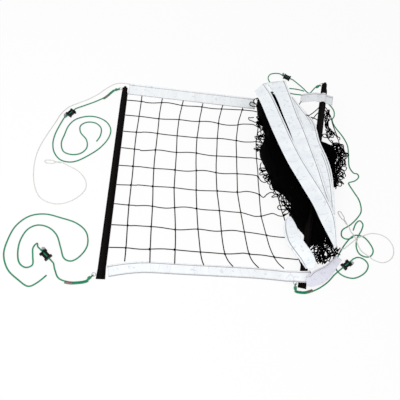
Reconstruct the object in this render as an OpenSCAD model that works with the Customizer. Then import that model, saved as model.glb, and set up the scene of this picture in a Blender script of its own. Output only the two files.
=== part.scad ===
// Volleyball net with stiffened sides: one metre lies flat, the rest is gathered in a pile.
// Millimetres, +Z up. The net stands on z = 0; its length runs along X and its height along Y.

/* [Net] */
// Side of one mesh square
mesh_pitch = 100; // [96:1:104]
// Diameter of the knotted twine
twine_d = 4; // [2.6:0.1:4]
// Width of the tape along the net's upper edge
top_tape_w = 75; // [70:1:78]
// Width of the tape along the net's lower edge
bottom_tape_w = 50; // [46:1:52]
// Thickness of a sewn double tape
tape_t = 2.4; // [2:0.2:3]
// Thickness of one coated band where the tapes are folded
band_t = 1; // [0.8:0.1:1.2]

/* [Side rods] */
// Length of the webbing sleeve on each side of the net
sleeve_len = 1020; // [1000:5:1030]
// Width of the sewn sleeve, hems included
sleeve_w = 32; // [28:1:34]
// Diameter of the fibreglass rod
rod_d = 10; // [8:0.5:10]
// Diameter of the hole up the middle of the rod
rod_bore_d = 6; // [4:0.5:6]

/* [Ropes] */
// Diameter of the braided tension rope
rope_d = 6; // [4:0.5:6]
// Diameter of the white headline cord
headline_d = 4; // [3:0.5:4]

/* [Tensioner] */
// Length of the rope tensioner between the outsides of its flanges
tensioner_len = 50; // [46:1:54]
// Width across its flanges
tensioner_w = 32; // [30:1:34]
// Height of its flanges
tensioner_h = 15; // [14:1:17]
// Diameter of the pin that carries the roller
pin_d = 4; // [3:0.5:4]

/* [Hidden] */
$fn = 48;
gap = 0.4;             // clearance between pieces that lie against each other
running = 0.05;        // radial clearance of a turning fit
sleeve_wall = 1.2;
rod_r = rod_d / 2;
sleeve_bore_r = rod_r + gap;
rod_z = sleeve_bore_r + sleeve_wall;
plug_flange = 4;
plug_shank = 14;
rod_inset = 6;         // how far each rod end sits inside its sleeve
rod_len = sleeve_len - 2 * rod_inset;
rope_r = rope_d / 2;
headline_r = headline_d / 2;
twine_r = twine_d / 2;

// Where the sides lie
left_foot = [-544, -530, 0];
right_foot = [264, -532, 0];
right_turn = 10.2;     // towards +X
right_tilt = 10.8;     // the far end rests on the pile

// Where the flat net lies
net_left = left_foot[0] + sleeve_w / 2 + 2;
top_tape_y = 482;
top_tape_turn = -1.8;
top_tape_len = 660;
first_column = -561;
lowest_row = -395;
rows = 9;
columns = 6;

// ---------------------------------------------------------------- curves and swept tubes

function unit(v) = v / norm(v);
function mix(a, b, t) = a * (1 - t) + b * t;

// A point of a smooth curve through p1 and p2
function smooth(p0, p1, p2, p3, t) =
    0.5 * (2 * p1 + (p2 - p0) * t + (2 * p0 - 5 * p1 + 4 * p2 - p3) * t * t
           + (3 * p1 - p0 - 3 * p2 + p3) * t * t * t);

// A smooth curve through every point of a route, with some steps in each stretch
function curve(route, steps) = [
    for (i = [0 : len(route) - 2])
        for (k = [0 : steps - 1])
            smooth(route[max(i - 1, 0)], route[i], route[i + 1],
                   route[min(i + 2, len(route) - 1)], k / steps),
    route[len(route) - 1]
];

// Direction of a line of points at one of them
function heading(line, i) = unit(line[min(i + 1, len(line) - 1)] - line[max(i - 1, 0)]);

// One ring of a tube, square to its line
function tube_ring(line, i, r, sides) =
    let (ahead = heading(line, i))
    let (across = unit(cross(ahead, [0, 0, 1])))
    let (up = cross(across, ahead))
    [for (k = [0 : sides - 1]) line[i] + r * (cos(360 * k / sides) * across + sin(360 * k / sides) * up)];

// Faces that join rings of equal size and close both ends
function skin(rings, sides) = concat(
    [for (k = [1 : sides - 2]) [0, k + 1, k]],
    [for (i = [0 : rings - 2]) for (k = [0 : sides - 1]) [i * sides + k, i * sides + (k + 1) % sides,
                                                          (i + 1) * sides + k]],
    [for (i = [0 : rings - 2]) for (k = [0 : sides - 1]) [i * sides + (k + 1) % sides,
                                                          (i + 1) * sides + (k + 1) % sides,
                                                          (i + 1) * sides + k]],
    [for (k = [1 : sides - 2]) (rings - 1) * sides * [1, 1, 1] + [0, k, k + 1]]
);

module tube(line, r, sides = 8) {
    points = [for (i = [0 : len(line) - 1]) each tube_ring(line, i, r, sides)];
    polyhedron(points, skin(len(line), sides));
}

// Faces of a hollow tube; each ring holds its outer points and then its inner ones
function hollow_skin(rings, sides) =
    let (n = 2 * sides)
    let (last = (rings - 1) * n)
    [
        for (k = [0 : sides - 1])
            let (m = (k + 1) % sides)
            each concat(
                [[m, k, sides + k], [m, sides + k, sides + m]],
                [for (i = [0 : rings - 2]) let (a = i * n) [a + k, a + m, a + n + k]],
                [for (i = [0 : rings - 2]) let (a = i * n) [a + m, a + n + m, a + n + k]],
                [for (i = [0 : rings - 2]) let (a = i * n + sides) [a + k, a + n + k, a + m]],
                [for (i = [0 : rings - 2]) let (a = i * n + sides) [a + m, a + n + k, a + n + m]],
                [[last + k, last + m, last + sides + m], [last + k, last + sides + m, last + sides + k]]
            )
    ];

module hollow_tube(line, r, bore_r, sides = 8) {
    points = [for (i = [0 : len(line) - 1]) each concat(tube_ring(line, i, r, sides), tube_ring(line, i, bore_r, sides))];
    polyhedron(points, hollow_skin(len(line), sides));
}

// A line that never sinks below a height
function laid_line(line, low) = [for (p = line) [p[0], p[1], max(p[2], low)]];

// A line shifted sideways along the floor, positive to the left of its heading
function beside(line, distance) = [
    for (i = [0 : len(line) - 1]) line[i] + distance * unit(cross([0, 0, 1], heading(line, i)))
];

// ---------------------------------------------------------------- side sleeves and rods

module left_side() {
    translate(left_foot) children();
}

module right_side() {
    translate(right_foot) rotate([0, 0, -right_turn]) rotate([right_tilt, 0, 0]) children();
}

// Along a rod, from a distance up its sleeve
module along_rod(from) {
    translate([0, from, rod_z]) rotate([-90, 0, 0]) children();
}

// Flat hems either side of the tube, flared at the near end and narrow at the far one
module sleeve() {
    half = sleeve_w / 2;
    flare = half + 2;
    narrow = half - 4;
    narrow_from = sleeve_len - 42;
    difference() {
        union() {
            linear_extrude(tape_t)
                polygon([[-flare, 0], [flare, 2], [half, 40], [half, narrow_from], [narrow, narrow_from],
                         [narrow, sleeve_len], [-narrow - 2, sleeve_len], [-half, narrow_from - 60], [-half, 40]]);
            along_rod(3) cylinder(r = sleeve_bore_r + sleeve_wall, h = sleeve_len - 4);
        }
        along_rod(-5) cylinder(r = sleeve_bore_r, h = sleeve_len + 10);
    }
}

module rod() {
    along_rod(rod_inset + plug_flange)
        difference() {
            cylinder(r = rod_r, h = rod_len - 2 * plug_flange);
            translate([0, 0, -1]) cylinder(d = rod_bore_d, h = rod_len);
        }
}

// Flanged plug with a domed face, its shank along +Z from the flange
module plug() {
    rotate_extrude()
        polygon([[0, 0], [rod_r - 1.5, 0], [rod_r, 1.5], [rod_r, plug_flange], [rod_bore_d / 2 - running, plug_flange],
                 [rod_bore_d / 2 - running, plug_flange + plug_shank - 1],
                 [rod_bore_d / 2 - 1, plug_flange + plug_shank], [0, plug_flange + plug_shank]]);
}

module near_plug() {
    along_rod(rod_inset) plug();
}

module far_plug() {
    along_rod(rod_inset + rod_len) mirror([0, 0, 1]) plug();
}

// ---------------------------------------------------------------- tapes

// Double tape, with a round hem for its cord along one edge
module hemmed_tape(length, width, cord_r) {
    hem_r = cord_r + 1.6;
    rotate([90, 0, 90]) linear_extrude(length)
        difference() {
            union() {
                translate([-width / 2, 0]) square([width, tape_t]);
                translate([width / 2 - hem_r, hem_r]) circle(hem_r);
            }
            translate([width / 2 - hem_r, hem_r]) circle(cord_r + 0.15);
        }
}

module hem_core(length, width, cord_r) {
    hem_r = cord_r + 1.6;
    translate([0, width / 2 - hem_r, hem_r]) rotate([0, 90, 0]) cylinder(r = cord_r, h = length);
}

module top_tape_place() {
    translate([net_left, top_tape_y, 0]) rotate([0, 0, top_tape_turn]) children();
}

// Middle of the bottom tape: along the floor, then over the right sleeve
bottom_tape_route = [
    [net_left + 7, -497, tape_t / 2], [-480, -488, tape_t / 2], [-430, -479, tape_t / 2], [-365, -473, tape_t / 2],
    [-250, -474, tape_t / 2], [-100, -475, tape_t / 2], [50, -476, tape_t / 2], [150, -480, tape_t / 2],
    [200, -485, 5.8], [232, -489, 18.8], [252, -492, 25.8], [272, -493, 28.6], [292, -491, 28.6], [306, -487, 26]
];
footline_r = 1.5;
footline_hem_r = footline_r + 1.6;
bottom_tape_line = laid_line(curve(bottom_tape_route, 2), tape_t / 2);
// Its cord lies in the hem along the outer edge
footline_line = [for (p = beside(bottom_tape_line, footline_hem_r - bottom_tape_w / 2)) p + [0, 0, footline_hem_r - tape_t / 2]];

// ---------------------------------------------------------------- pile of gathered netting

// Foot of the pile: distance along Y, left foot, right foot and height
pile_rows = [
    [505, 150, 215, 60], [460, 145, 268, 98], [380, 138, 300, 114], [290, 134, 330, 122], [200, 130, 350, 124],
    [120, 134, 364, 124], [40, 158, 380, 124], [-50, 182, 388, 121], [-140, 212, 390, 113],
    [-220, 258, 392, 96], [-290, 292, 400, 76], [-350, 318, 404, 56], [-410, 340, 388, 24]
];
left_foot_line = [for (p = pile_rows) [p[0], p[1]]];

// One row of a mound: a round-shouldered arch that stands on the floor
function mound_row(p, sides, lumps) = [
    for (k = [0 : sides - 1])
        let (a = 180 * k / (sides - 1))
        let (lump = 1 + lumps * sin(a) * sin(5 * a + 2.3 * p[0]))
        [(p[1] + p[2]) / 2 - (p[2] - p[1]) / 2 * sign(cos(a)) * pow(abs(cos(a)), 0.7) * lump, p[0],
         p[3] * pow(sin(a), 0.6) * lump]
];

module mound(rows_of, sides, lumps) {
    points = [for (p = rows_of) each mound_row(p, sides, lumps)];
    polyhedron(points, skin(len(rows_of), sides));
}

// ---------------------------------------------------------------- folded bands

// Middle lines of the folded bands from far end to near end, each with its share of the full width there: the
// band on top at the left, the one beside it, and the lowest one at the right; levels are counted up from them
left_band = [[120, 433, 135, 1], [139, 384, 139, 1], [157, 317, 143, 1], [179, 226, 144, 1], [207, 121, 144, 1],
             [247, -3, 144, 1], [294, -113, 141, 1], [335, -198, 133, 1], [368, -272, 111, 0.9], [400, -373, 69, 0.12]];
middle_band = [[213, 487, 135, 1], [228, 432, 139, 1], [244, 351, 143, 1], [258, 267, 144, 1], [280, 169, 144, 1],
               [300, 56, 144, 1], [317, -37, 144, 1], [334, -140, 137, 1], [351, -208, 128, 1], [373, -252, 110, 1]];
right_band = [[282, 376, 120, 1], [302, 338, 122, 1], [320, 301, 126, 1], [350, 240, 132, 1], [352, 188, 141, 1],
              [357, 112, 142, 1], [384, 20, 133, 1], [394, -58, 125, 1], [387, -173, 115, 1], [387, -231, 97, 1]];
left_skew = 0.6;       // the left band is folded askew at its far end
band_pitch = 1.4;
band_steps = 2;
left_line = curve(left_band, band_steps);
middle_line = curve(middle_band, band_steps);
right_line = curve(right_band, band_steps);
band_last = len(left_line) - 1;

// Lines in between: 0 is the left band, 1 the middle one and 2 the right one
function band_line(u) = [
    for (i = [0 : band_last])
        u < 1 ? mix(left_line[i], middle_line[i], u) : mix(middle_line[i], right_line[i], u - 1)
];

// Frame of a band at one place: middle, ahead, across, square to its face
function band_frame(u, i) =
    let (line = band_line(u))
    let (places = [for (p = line) [p[0], p[1], p[2]]])
    let (ahead = heading(places, i))
    let (level = unit(cross([0, 0, 1], ahead)))
    let (skew = left_skew * max(0, 1 - u) * max(0, 1 - i / 3))
    [places[i], ahead, line[i][3] * (level - skew * ahead), cross(ahead, level)];

// Four corners of a band's section; face is square to the band there
function band_ring(middle, across, face, width, thick = band_t) = [
    middle + across * width / 2 + face * thick / 2, middle + across * width / 2 - face * thick / 2,
    middle - across * width / 2 - face * thick / 2, middle - across * width / 2 + face * thick / 2
];

// One run of a band, away from the far end when odd is 0
function band_run(u, level, odd, width) = [
    for (k = [0 : band_last])
        let (f = band_frame(u, odd == 0 ? k : band_last - k))
        band_ring(f[0] + f[3] * level * band_pitch, f[2], (odd == 0 ? 1 : -1) * f[3], width)
];

// The turn from one run up to the next
function band_turn(u, next_u, level, odd, width) = [
    for (k = [1 : 3])
        let (phi = 180 * k / 4)
        let (f = band_frame(mix(u, next_u, k / 4), odd == 0 ? band_last : 0))
        let (side = odd == 0 ? 1 : -1)
        let (out = side * f[1])
        band_ring(f[0] + band_pitch * (f[3] * (level + 0.5 - cos(phi) / 2) + out * sin(phi) * 0.8),
                  f[2], side * (cos(phi) * f[3] - sin(phi) * out), width)
];

// A band folded to and fro, climbing one level each run; shifts says how far across each run lies
function folded_band(shifts, width) = [
    for (k = [0 : len(shifts) - 1])
        each concat(
            band_run(shifts[k], k + 1, k % 2, width),
            k == len(shifts) - 1 ? [] : band_turn(shifts[k], shifts[k + 1], k + 1, k % 2, width)
        )
];

module ribbon(rings) {
    polyhedron([for (r = rings) each r], skin(len(rings), 4));
}

// A level band laid along a line of points
function laid_band(line, width, thick) = [
    for (i = [0 : len(line) - 1])
        let (ahead = heading(line, i))
        let (level = unit(cross([0, 0, 1], ahead)))
        band_ring(line[i], level, cross(ahead, level), width, thick)
];

// A band that leans over; each station holds its place, its roll, and its reach to the left and to the right
function leaning_band(route, steps) =
    let (line = curve(route, steps))
    let (places = [for (p = line) [p[0], p[1], p[2]]])
    [
        for (i = [0 : len(line) - 1])
            let (ahead = heading(places, i))
            let (level = unit(cross([0, 0, 1], ahead)))
            let (up = cross(ahead, level))
            let (roll = line[i][3])
            let (across = cos(roll) * level + sin(roll) * up)
            let (reach = (line[i][4] + line[i][5]) / 2)
            band_ring(places[i] + across * (line[i][4] - reach), across, cos(roll) * up - sin(roll) * level, 2 * reach)
    ];

top_shifts = [0.98, 1, 0.97, 0.99, 0.98, 1, 0.02, 0];
bottom_shifts = [1.98, 1.97, 2, 1.98, 1.99, 1.97, 2, 1.99];

// ---------------------------------------------------------------- ropes

rope_hole_z = 8;

// A tensioner's place: middle and heading of its rope
far_left_place = [-787, 280, 236];
near_left_place = [-768, -440, 138];
far_right_place = [328, 684, 153];
near_right_place = [478, -419, 37];

function at_tensioner(place, along) =
    [place[0] + along * cos(place[2]), place[1] + along * sin(place[2]), rope_hole_z];
// The rope runs straight through a tensioner
function through(place) = [for (a = [-42, -27, 27, 42]) at_tensioner(place, a)];

// Rings sewn to the sleeves' outer edges, with the heading of each knot
ring_r = 7.5;
ring_wire_r = 1.25;
bight_r = 4.1;
knot_rope_r = 2.5;     // the rope is drawn thin where it is tied
knot_coils = 3;
knot_pitch = 4.6;
knot_from = ring_r + bight_r + knot_rope_r + 0.3;
knot_to = knot_from + knot_coils * knot_pitch;
far_left_ring_at = [-568, 474, rod_z];
near_left_ring_at = [-571, -514, rod_z];
near_right_ring_at = [236, -513, rod_z];
far_right_ring_at = [-20, 1004, rod_z];
far_left_knot_turn = 205;
near_left_knot_turn = 225;
near_right_knot_turn = 265;

// Where a rope leaves its knot, straight for a little way
function knot_end(ring, turn) = [for (d = [0.8, 9]) ring + (knot_to + d) * [cos(turn), sin(turn), 0]];

function from_right_side(p) =
    let (q = [p[0], p[1] * cos(right_tilt) - p[2] * sin(right_tilt), p[1] * sin(right_tilt) + p[2] * cos(right_tilt)])
    right_foot + [q[0] * cos(right_turn) + q[1] * sin(right_turn), q[1] * cos(right_turn) - q[0] * sin(right_turn), q[2]];

far_right_knot_drop = 60;
far_right_knot_end = [
    for (d = [0.8, 9])
        from_right_side(far_right_ring_at - (knot_to + d) * [cos(far_right_knot_drop), 0, sin(far_right_knot_drop)])
];

far_left_route = concat(knot_end(far_left_ring_at, far_left_knot_turn), [
    [-612, 448, 3], [-640, 408, 3], [-680, 375, 3], [-725, 342, 6]], through(far_left_place), [
    [-828, 185, 3], [-835, 140, 3], [-834, 95, 3], [-820, 50, 3], [-790, 14, 3], [-752, 3, 3], [-715, 12, 3],
    [-672, 44, 3], [-625, 92, 3], [-593, 150, 3], [-586, 205, 3], [-610, 250, 3], [-655, 275, 3], [-705, 276, 3],
    [-755, 252, 3], [-782, 210, 3], [-792, 155, 3], [-798, 105, 3], [-782, 60, 3], [-745, 45, 3], [-705, 55, 3],
    [-682, 90, 3], [-690, 135, 3], [-722, 175, 3], [-728, 215, 3], [-700, 240, 3], [-660, 238, 3],
    [-632, 210, 3], [-630, 165, 3], [-643, 131, 3]]);

near_left_route = concat(knot_end(near_left_ring_at, near_left_knot_turn), [
    [-620, -545, 4], [-660, -547, 3], [-700, -534, 3], [-720, -500, 4], [-728, -478, 7]], through(near_left_place), [
    [-806, -396, 5], [-818, -416, 3], [-812, -450, 3], [-806, -485, 3], [-830, -497, 3], [-857, -478, 3], [-871, -435, 3],
    [-872, -385, 3], [-855, -338, 3], [-820, -316, 3], [-775, -324, 3], [-738, -356, 3], [-714, -408, 3],
    [-694, -452, 3], [-662, -462, 3], [-630, -435, 3], [-612, -390, 3], [-625, -335, 3], [-670, -297, 3],
    [-735, -277, 3], [-800, -264, 3], [-860, -278, 3], [-903, -325, 3], [-920, -390, 3], [-920, -450, 3],
    [-892, -508, 3], [-845, -547, 3], [-805, -570, 3], [-775, -555, 3], [-746, -524, 3]]);

far_right_route = concat(far_right_knot_end, [
    [404, 462, 140], [418, 500, 85], [434, 545, 35], [436, 580, 8], [420, 612, 3], [394, 640, 5]],
    through(far_right_place), [
    [262, 706, 3], [235, 690, 3], [225, 655, 3], [245, 615, 3], [290, 580, 3], [350, 562, 3], [420, 558, 3],
    [490, 545, 3], [545, 518, 3], [572, 470, 3], [568, 425, 3], [552, 396, 3], [560, 350, 3], [590, 290, 3],
    [606, 230, 3], [598, 160, 3], [590, 100, 3], [604, 64, 3], [624, 58, 3], [626, 38, 3], [602, 16, 3], [572, 4, 3], [568, -8, 3],
    [585, -50, 3], [602, -95, 3], [600, -150, 3], [572, -190, 3], [530, -228, 3], [490, -254, 3], [479, -282, 3],
    [490, -297, 3], [510, -298, 3], [532, -288, 3]]);

near_right_route = concat(knot_end(near_right_ring_at, near_right_knot_turn), [
    [250, -553, 3], [276, -553, 3], [308, -543, 3], [342, -527, 3], [380, -501, 4], [412, -470, 6]], through(near_right_place), [
    [538, -384, 3], [565, -395, 3], [575, -418, 3], [560, -446, 3], [530, -468, 3], [495, -480, 3],
    [458, -474, 3], [432, -455, 3], [424, -428, 3], [438, -396, 3], [455, -368, 3], [485, -328, 3.6], [518, -294, 9.8],
    [550, -278, 5], [590, -290, 3], [614, -340, 3], [600, -372, 3], [572, -380, 3], [545, -366, 3], [538, -335, 3],
    [546, -300, 7], [560, -277, 9], [580, -250, 5], [592, -222, 5], [578, -206, 9], [556, -222, 9], [540, -254, 3]]);

far_right_tail_route = [[423, 590, 3], [404, 596, 3], [372, 600, 3], [340, 600, 3]];

left_headline_route = [[-545, 517, 3], [-575, 517, 2], [-605, 503, 2],
    [-640, 468, 2], [-675, 425, 2], [-715, 388, 2], [-760, 356, 2], [-800, 325, 2], [-828, 280, 2], [-845, 225, 2],
    [-870, 145, 2], [-888, 75, 2], [-894, 10, 2], [-888, -60, 2], [-870, -130, 2], [-838, -185, 2], [-790, -210, 2],
    [-740, -209, 2], [-690, -180, 2], [-658, -135, 2], [-664, -85, 2], [-700, -42, 2], [-745, -18, 2],
    [-770, -5, 3]];

right_headline_route = [[444, -366, 38], [462, -352, 16], [482, -345, 3], [512, -322, 5], [545, -298, 14], [582, -280, 9],
    [625, -264, 2], [670, -268, 2], [704, -293, 2], [714, -335, 2], [695, -378, 2], [652, -402, 2], [612, -396, 4],
    [585, -380, 9], [558, -355, 5], [545, -330, 9], [537, -305, 15], [532, -286, 15], [526, -262, 6], [520, -241, 9.6], [516, -230, 6.4]];
left_serving_at = [-784, -3, 180];
right_serving_at = [514, -223, 112];
serving_len = 24;
serving_r = 4;
eye_r = 8;
eye_straight = 27;

// The headlines run from the hem of the top tape to their servings
hem_offset = top_tape_w / 2 - headline_r - 1.6;
left_headline_start = [net_left - 0.6, top_tape_y, 0] + [-hem_offset * sin(top_tape_turn), hem_offset * cos(top_tape_turn), headline_r + 1.6];
left_headline_finish = [left_serving_at[0] + 0.4, left_serving_at[1], serving_r];
right_headline_start = [433, -374, 50];
right_headline_finish = [right_serving_at[0], right_serving_at[1] - 0.6, serving_r];

tube_steps = 2;

// ---------------------------------------------------------------- colours

netting_colour = [0.07, 0.07, 0.08];
tape_colour = [0.93, 0.94, 0.97];
rope_colour = [0.02, 0.6, 0.42];
cord_colour = [0.9, 0.9, 0.88];
webbing_colour = [0.06, 0.05, 0.05];
plastic_colour = [0.05, 0.05, 0.06];
steel_colour = [0.6, 0.6, 0.62];
rod_colour = [0.85, 0.8, 0.6];

// ---------------------------------------------------------------- netting

function string_end(y) = lookup(-y, [for (p = left_foot_line) [-p[0], p[1]]]);
function top_edge(x) = top_tape_y - top_tape_w / 2 + (x - net_left) * tan(top_tape_turn);

// The last stretch of each row of strings, where the pile pulls on it, from the lowest row up
row_ends = [
    [[110, -396], [160, -402], [205, -405], [262, -408]],
    [[110, -299], [160, -306], [210, -308], [250, -304]],
    [[90, -213], [122, -209], [150, -199], [174, -193], [200, -203], [219, -202]],
    [[98, -91], [119, -100], [136, -112], [154, -95], [175, -82]],
    [[107, 6], [119, -2], [132, -23], [148, -30]],
    [[97, 106], [121, 104]],
    [[103, 204]],
    [[111, 314]],
    [[117, 410]]
];
row_bend_from = 60;

function row_line(r) =
    let (y = lowest_row + r * mesh_pitch)
    let (count = round((row_bend_from - net_left) / mesh_pitch))
    let (ends = row_ends[r])
    let (last = ends[len(ends) - 1])
    concat(
        [for (k = [0 : count])
            let (x = mix(net_left, row_bend_from, k / count))
            [x, y + 3 * sin(2.1 * x + 70 * r) + 4 * sin(1.2 * x + 150 * r), twine_r]],
        [for (p = ends) [p[0], p[1], twine_r]],
        last[0] + 12 < string_end(last[1]) && r > 1 ? [[string_end(last[1]) - 6, last[1], twine_r]] : []
    );

// How far a column of strings bows to the side down the net, and how the near tape pulls its end over
bow = [[-460, 0.3], [-360, 0.1], [-250, -0.35], [-100, -1], [50, -1], [200, -0.7], [330, 0.1], [460, 1.7]];
near_pull = [0, 0, 0, 12, 30, 36];
column_low = -447;
column_low_steps = [column_low, column_low + 20, column_low + 50];

function column_x(c, y) =
    first_column + c * mesh_pitch + 3.6 * c * lookup(y, bow) + near_pull[c - 1] * exp((column_low - y) / 35);

function column_line(c) =
    let (high = top_edge(column_x(c, 440)) - 1.5)
    let (from = column_low + mesh_pitch)
    let (count = round((high - from) / mesh_pitch))
    [for (y = concat(column_low_steps, [for (k = [0 : count]) mix(from, high, k / count)])) [column_x(c, y), y, twine_r]];

// The seventh column comes out from the foot of the pile, and the eighth from further along
seventh_column = [[124, 205], [119, 100], [118, -20], [117, -153], [125, -253], [146, -365], [168, -419], [190, -444]];
eighth_column = [[214, -168], [226, -225], [248, -346], [263, -392], [276, -438]];

module netting() {
    color(netting_colour) {
        for (r = [0 : rows - 1]) tube(row_line(r), twine_r, 6);
        for (c = [1 : columns]) tube(column_line(c), twine_r, 6);
        for (route = [seventh_column, eighth_column]) tube([for (p = route) [p[0], p[1], twine_r]], twine_r, 6);
    }
}

side_rows = [
    [300, 345, 400, 25], [262, 350, 520, 48], [200, 372, 578, 62], [140, 394, 566, 64],
    [80, 406, 548, 60], [20, 420, 515, 48], [-40, 430, 488, 32], [-88, 436, 462, 14]
];

module sleeve_slot(low) {
    right_side() translate([-sleeve_w / 2 - 3, -20, low]) cube([sleeve_w + 6, sleeve_len + 40, 300]);
}

module netting_pile() {
    color(netting_colour)
        difference() {
            mound(pile_rows, 14, 0.03);
            sleeve_slot(-1);
        }
}

module netting_pile_side() {
    color(netting_colour)
        difference() {
            mound(side_rows, 12, 0.04);
            sleeve_slot(-1);
        }
}

// ---------------------------------------------------------------- tape pieces

module top_tape() {
    color(tape_colour) top_tape_place() hemmed_tape(top_tape_len, top_tape_w, headline_r);
}

module bottom_tape() {
    hem_w = 2 * footline_hem_r + 0.1;
    flat_line = beside(bottom_tape_line, hem_w / 2);
    color(tape_colour) {
        ribbon(laid_band(flat_line, bottom_tape_w - hem_w, tape_t));
        hollow_tube(footline_line, footline_hem_r, footline_r + 0.4);
    }
}

module headline_core() {
    color(cord_colour) top_tape_place() hem_core(top_tape_len, top_tape_w, headline_r);
}

module footline_core() {
    color(cord_colour) tube(footline_line, footline_r);
}

module top_tape_folds() {
    color(tape_colour) ribbon(folded_band(top_shifts, top_tape_w));
}

module bottom_tape_folds() {
    color(tape_colour) ribbon(folded_band(bottom_shifts, bottom_tape_w));
}

// The top tape's end, laid over the right sleeve, and where the tape comes down to it from the pile
tape_end_route = [
    [272, -514, 39, 20, 20, 20], [298, -512, 38, 18, 26, 22], [324, -495, 36, 9, 30, 30], [352, -477, 32, 3, 27, 28],
    [384, -454, 28, 0, 22, 22], [412, -426, 24, 0, 18, 17], [438, -397, 20, 0, 16, 16]
];
tape_turn_route = [
    [294, -462, 46, -30, 20, 18], [293, -446, 50, -36, 26, 26], [292, -425, 50, -38, 30, 28], [285, -398, 49, -34, 33, 30],
    [268, -358, 46, -24, 36, 30], [256, -330, 44, -22, 34, 28], [253, -300, 40, -22, 32, 20], [251, -266, 34, -22, 30, 12]
];

module top_tape_end() {
    color(tape_colour) ribbon(leaning_band(tape_end_route, 3));
}

module top_tape_turn() {
    color(tape_colour) ribbon(leaning_band(tape_turn_route, 2));
}

// Strap over the far end of the right sleeve, hanging down on the net's side
strap_line = [[-100, -36], [-70, -14], [-40, 2], [-15, 4], [-8, 12.4], [0, 14.6], [8, 12.4], [15, 4], [48, 1]];
strap_from = 905;

module bottom_tape_end() {
    outline = concat(strap_line, [for (i = [len(strap_line) - 1 : -1 : 0]) strap_line[i] + [0, band_t]]);
    color(tape_colour)
        right_side() translate([0, strap_from + bottom_tape_w, 0]) rotate([90, 0, 0])
            linear_extrude(bottom_tape_w) polygon(outline);
}

// ---------------------------------------------------------------- corner rings and knots

// Ring in the XY plane, its knot towards +X
module ring() {
    rotate_extrude() translate([ring_r, 0]) circle(ring_wire_r, $fn = 24);
}

module knot() {
    translate([ring_r, 0, 0]) rotate([90, 0, 0]) rotate_extrude() translate([bight_r, 0]) circle(knot_rope_r, $fn = 24);
    translate([knot_from, 0, 0]) rotate([0, 90, 0])
        rotate_extrude()
            union() {
                square([knot_rope_r + 1, knot_to - knot_from]);
                for (k = [0 : knot_coils - 1])
                    translate([rod_z - knot_rope_r, knot_pitch * (k + 0.5)]) circle(knot_rope_r, $fn = 24);
            }
}

module far_left_corner() {
    translate(far_left_ring_at) rotate(far_left_knot_turn) children();
}

module near_left_corner() {
    translate(near_left_ring_at) rotate(near_left_knot_turn) children();
}

module near_right_corner() {
    translate(near_right_ring_at) rotate(near_right_knot_turn) children();
}

module far_right_corner() {
    right_side() translate(far_right_ring_at) rotate([0, -far_right_knot_drop, 0]) rotate(180) children();
}

// ---------------------------------------------------------------- tensioners

module tensioner_place(place) {
    translate([place[0], place[1], 0]) rotate(place[2]) children();
}

block_from = -tensioner_len / 2;
block_to = block_from + 0.74 * tensioner_len;   // the lug stands beyond this end
lug_at = [block_to + 9, -9.5];
lug_r = 7.5;
floor_t = 4;
roller_r = 6;
roller_h = 9;

// Moulded block: two cheeks with a toothed channel between them, a flange at each end and a lug for the roller
module tensioner() {
    cheek = 8;
    channel = 7;
    flange_t = 6;
    corner = 3;
    tooth_r = 0.8;
    half_w = tensioner_w / 2;
    block_len = block_to - block_from;
    color(plastic_colour)
        difference() {
            union() {
                translate([block_from, -channel / 2 - cheek, 0]) cube([block_len, channel + 2 * cheek, floor_t]);
                for (side = [-1, 1])
                    translate([block_from + 1, side * (channel + cheek) / 2 - cheek / 2, 0])
                        cube([block_len - 2, cheek, tensioner_h - 2]);
                for (end = [block_from, block_to - flange_t])
                    translate([end, 0, 0]) rotate([90, 0, 90]) linear_extrude(flange_t)
                        polygon([[-half_w, 0], [half_w, 0], [half_w, tensioner_h - corner],
                                 [half_w - corner, tensioner_h], [-half_w + corner, tensioner_h],
                                 [-half_w, tensioner_h - corner]]);
                translate([block_to - 2, lug_at[1] - lug_r + 1, 0])
                    cube([lug_at[0] - block_to + 2, 2 * lug_r - 2, floor_t]);
                translate([lug_at[0], lug_at[1], 0]) cylinder(r = lug_r, h = floor_t);
            }
            difference() {
                translate([block_from - 1, 0, rope_hole_z]) rotate([0, 90, 0]) cylinder(r = channel / 2, h = block_len + 2);
                for (k = [-2 : 2])
                    translate([(block_from + block_to) / 2 + k * 5, -channel / 2 - 1, floor_t])
                        rotate([-90, 0, 0]) cylinder(r = tooth_r, h = channel + 2);
            }
            translate([block_from + flange_t, -channel / 2, rope_hole_z])
                cube([block_len - 2 * flange_t, channel, tensioner_h]);
            translate([lug_at[0], lug_at[1], -1]) cylinder(d = pin_d + 2 * running, h = floor_t + 2);
        }
}

module roller() {
    groove = roller_r - 2;
    bore = pin_d / 2 + running;
    color(steel_colour)
        translate([lug_at[0], lug_at[1], floor_t + gap])
            rotate_extrude()
                polygon([[bore, 0], [roller_r, 0], [roller_r, 1.5], [groove, 3.5], [groove, roller_h - 3.5],
                         [roller_r, roller_h - 1.5], [roller_r, roller_h], [bore, roller_h]]);
}

module roller_pin() {
    head = floor_t + roller_h + 2 * gap;
    color(steel_colour)
        translate([lug_at[0], lug_at[1], 0])
            rotate_extrude()
                polygon([[0, 0.4], [pin_d / 2, 0.4], [pin_d / 2, head], [pin_d / 2 + 2, head],
                         [pin_d / 2 + 2, head + 1.2], [pin_d / 2 + 1.2, head + 2], [0, head + 2]]);
}

// ---------------------------------------------------------------- cords

module rope(route) {
    color(rope_colour) tube(laid_line(curve(route, tube_steps), rope_r), rope_r);
}

module headline(route) {
    color(cord_colour) tube(laid_line(curve(route, tube_steps), headline_r), headline_r);
}

module served_end(at) {
    translate([at[0], at[1], serving_r]) rotate(at[2]) children();
}

module serving() {
    color(cord_colour) rotate([0, 90, 0]) cylinder(r = serving_r, h = serving_len);
}

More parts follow.
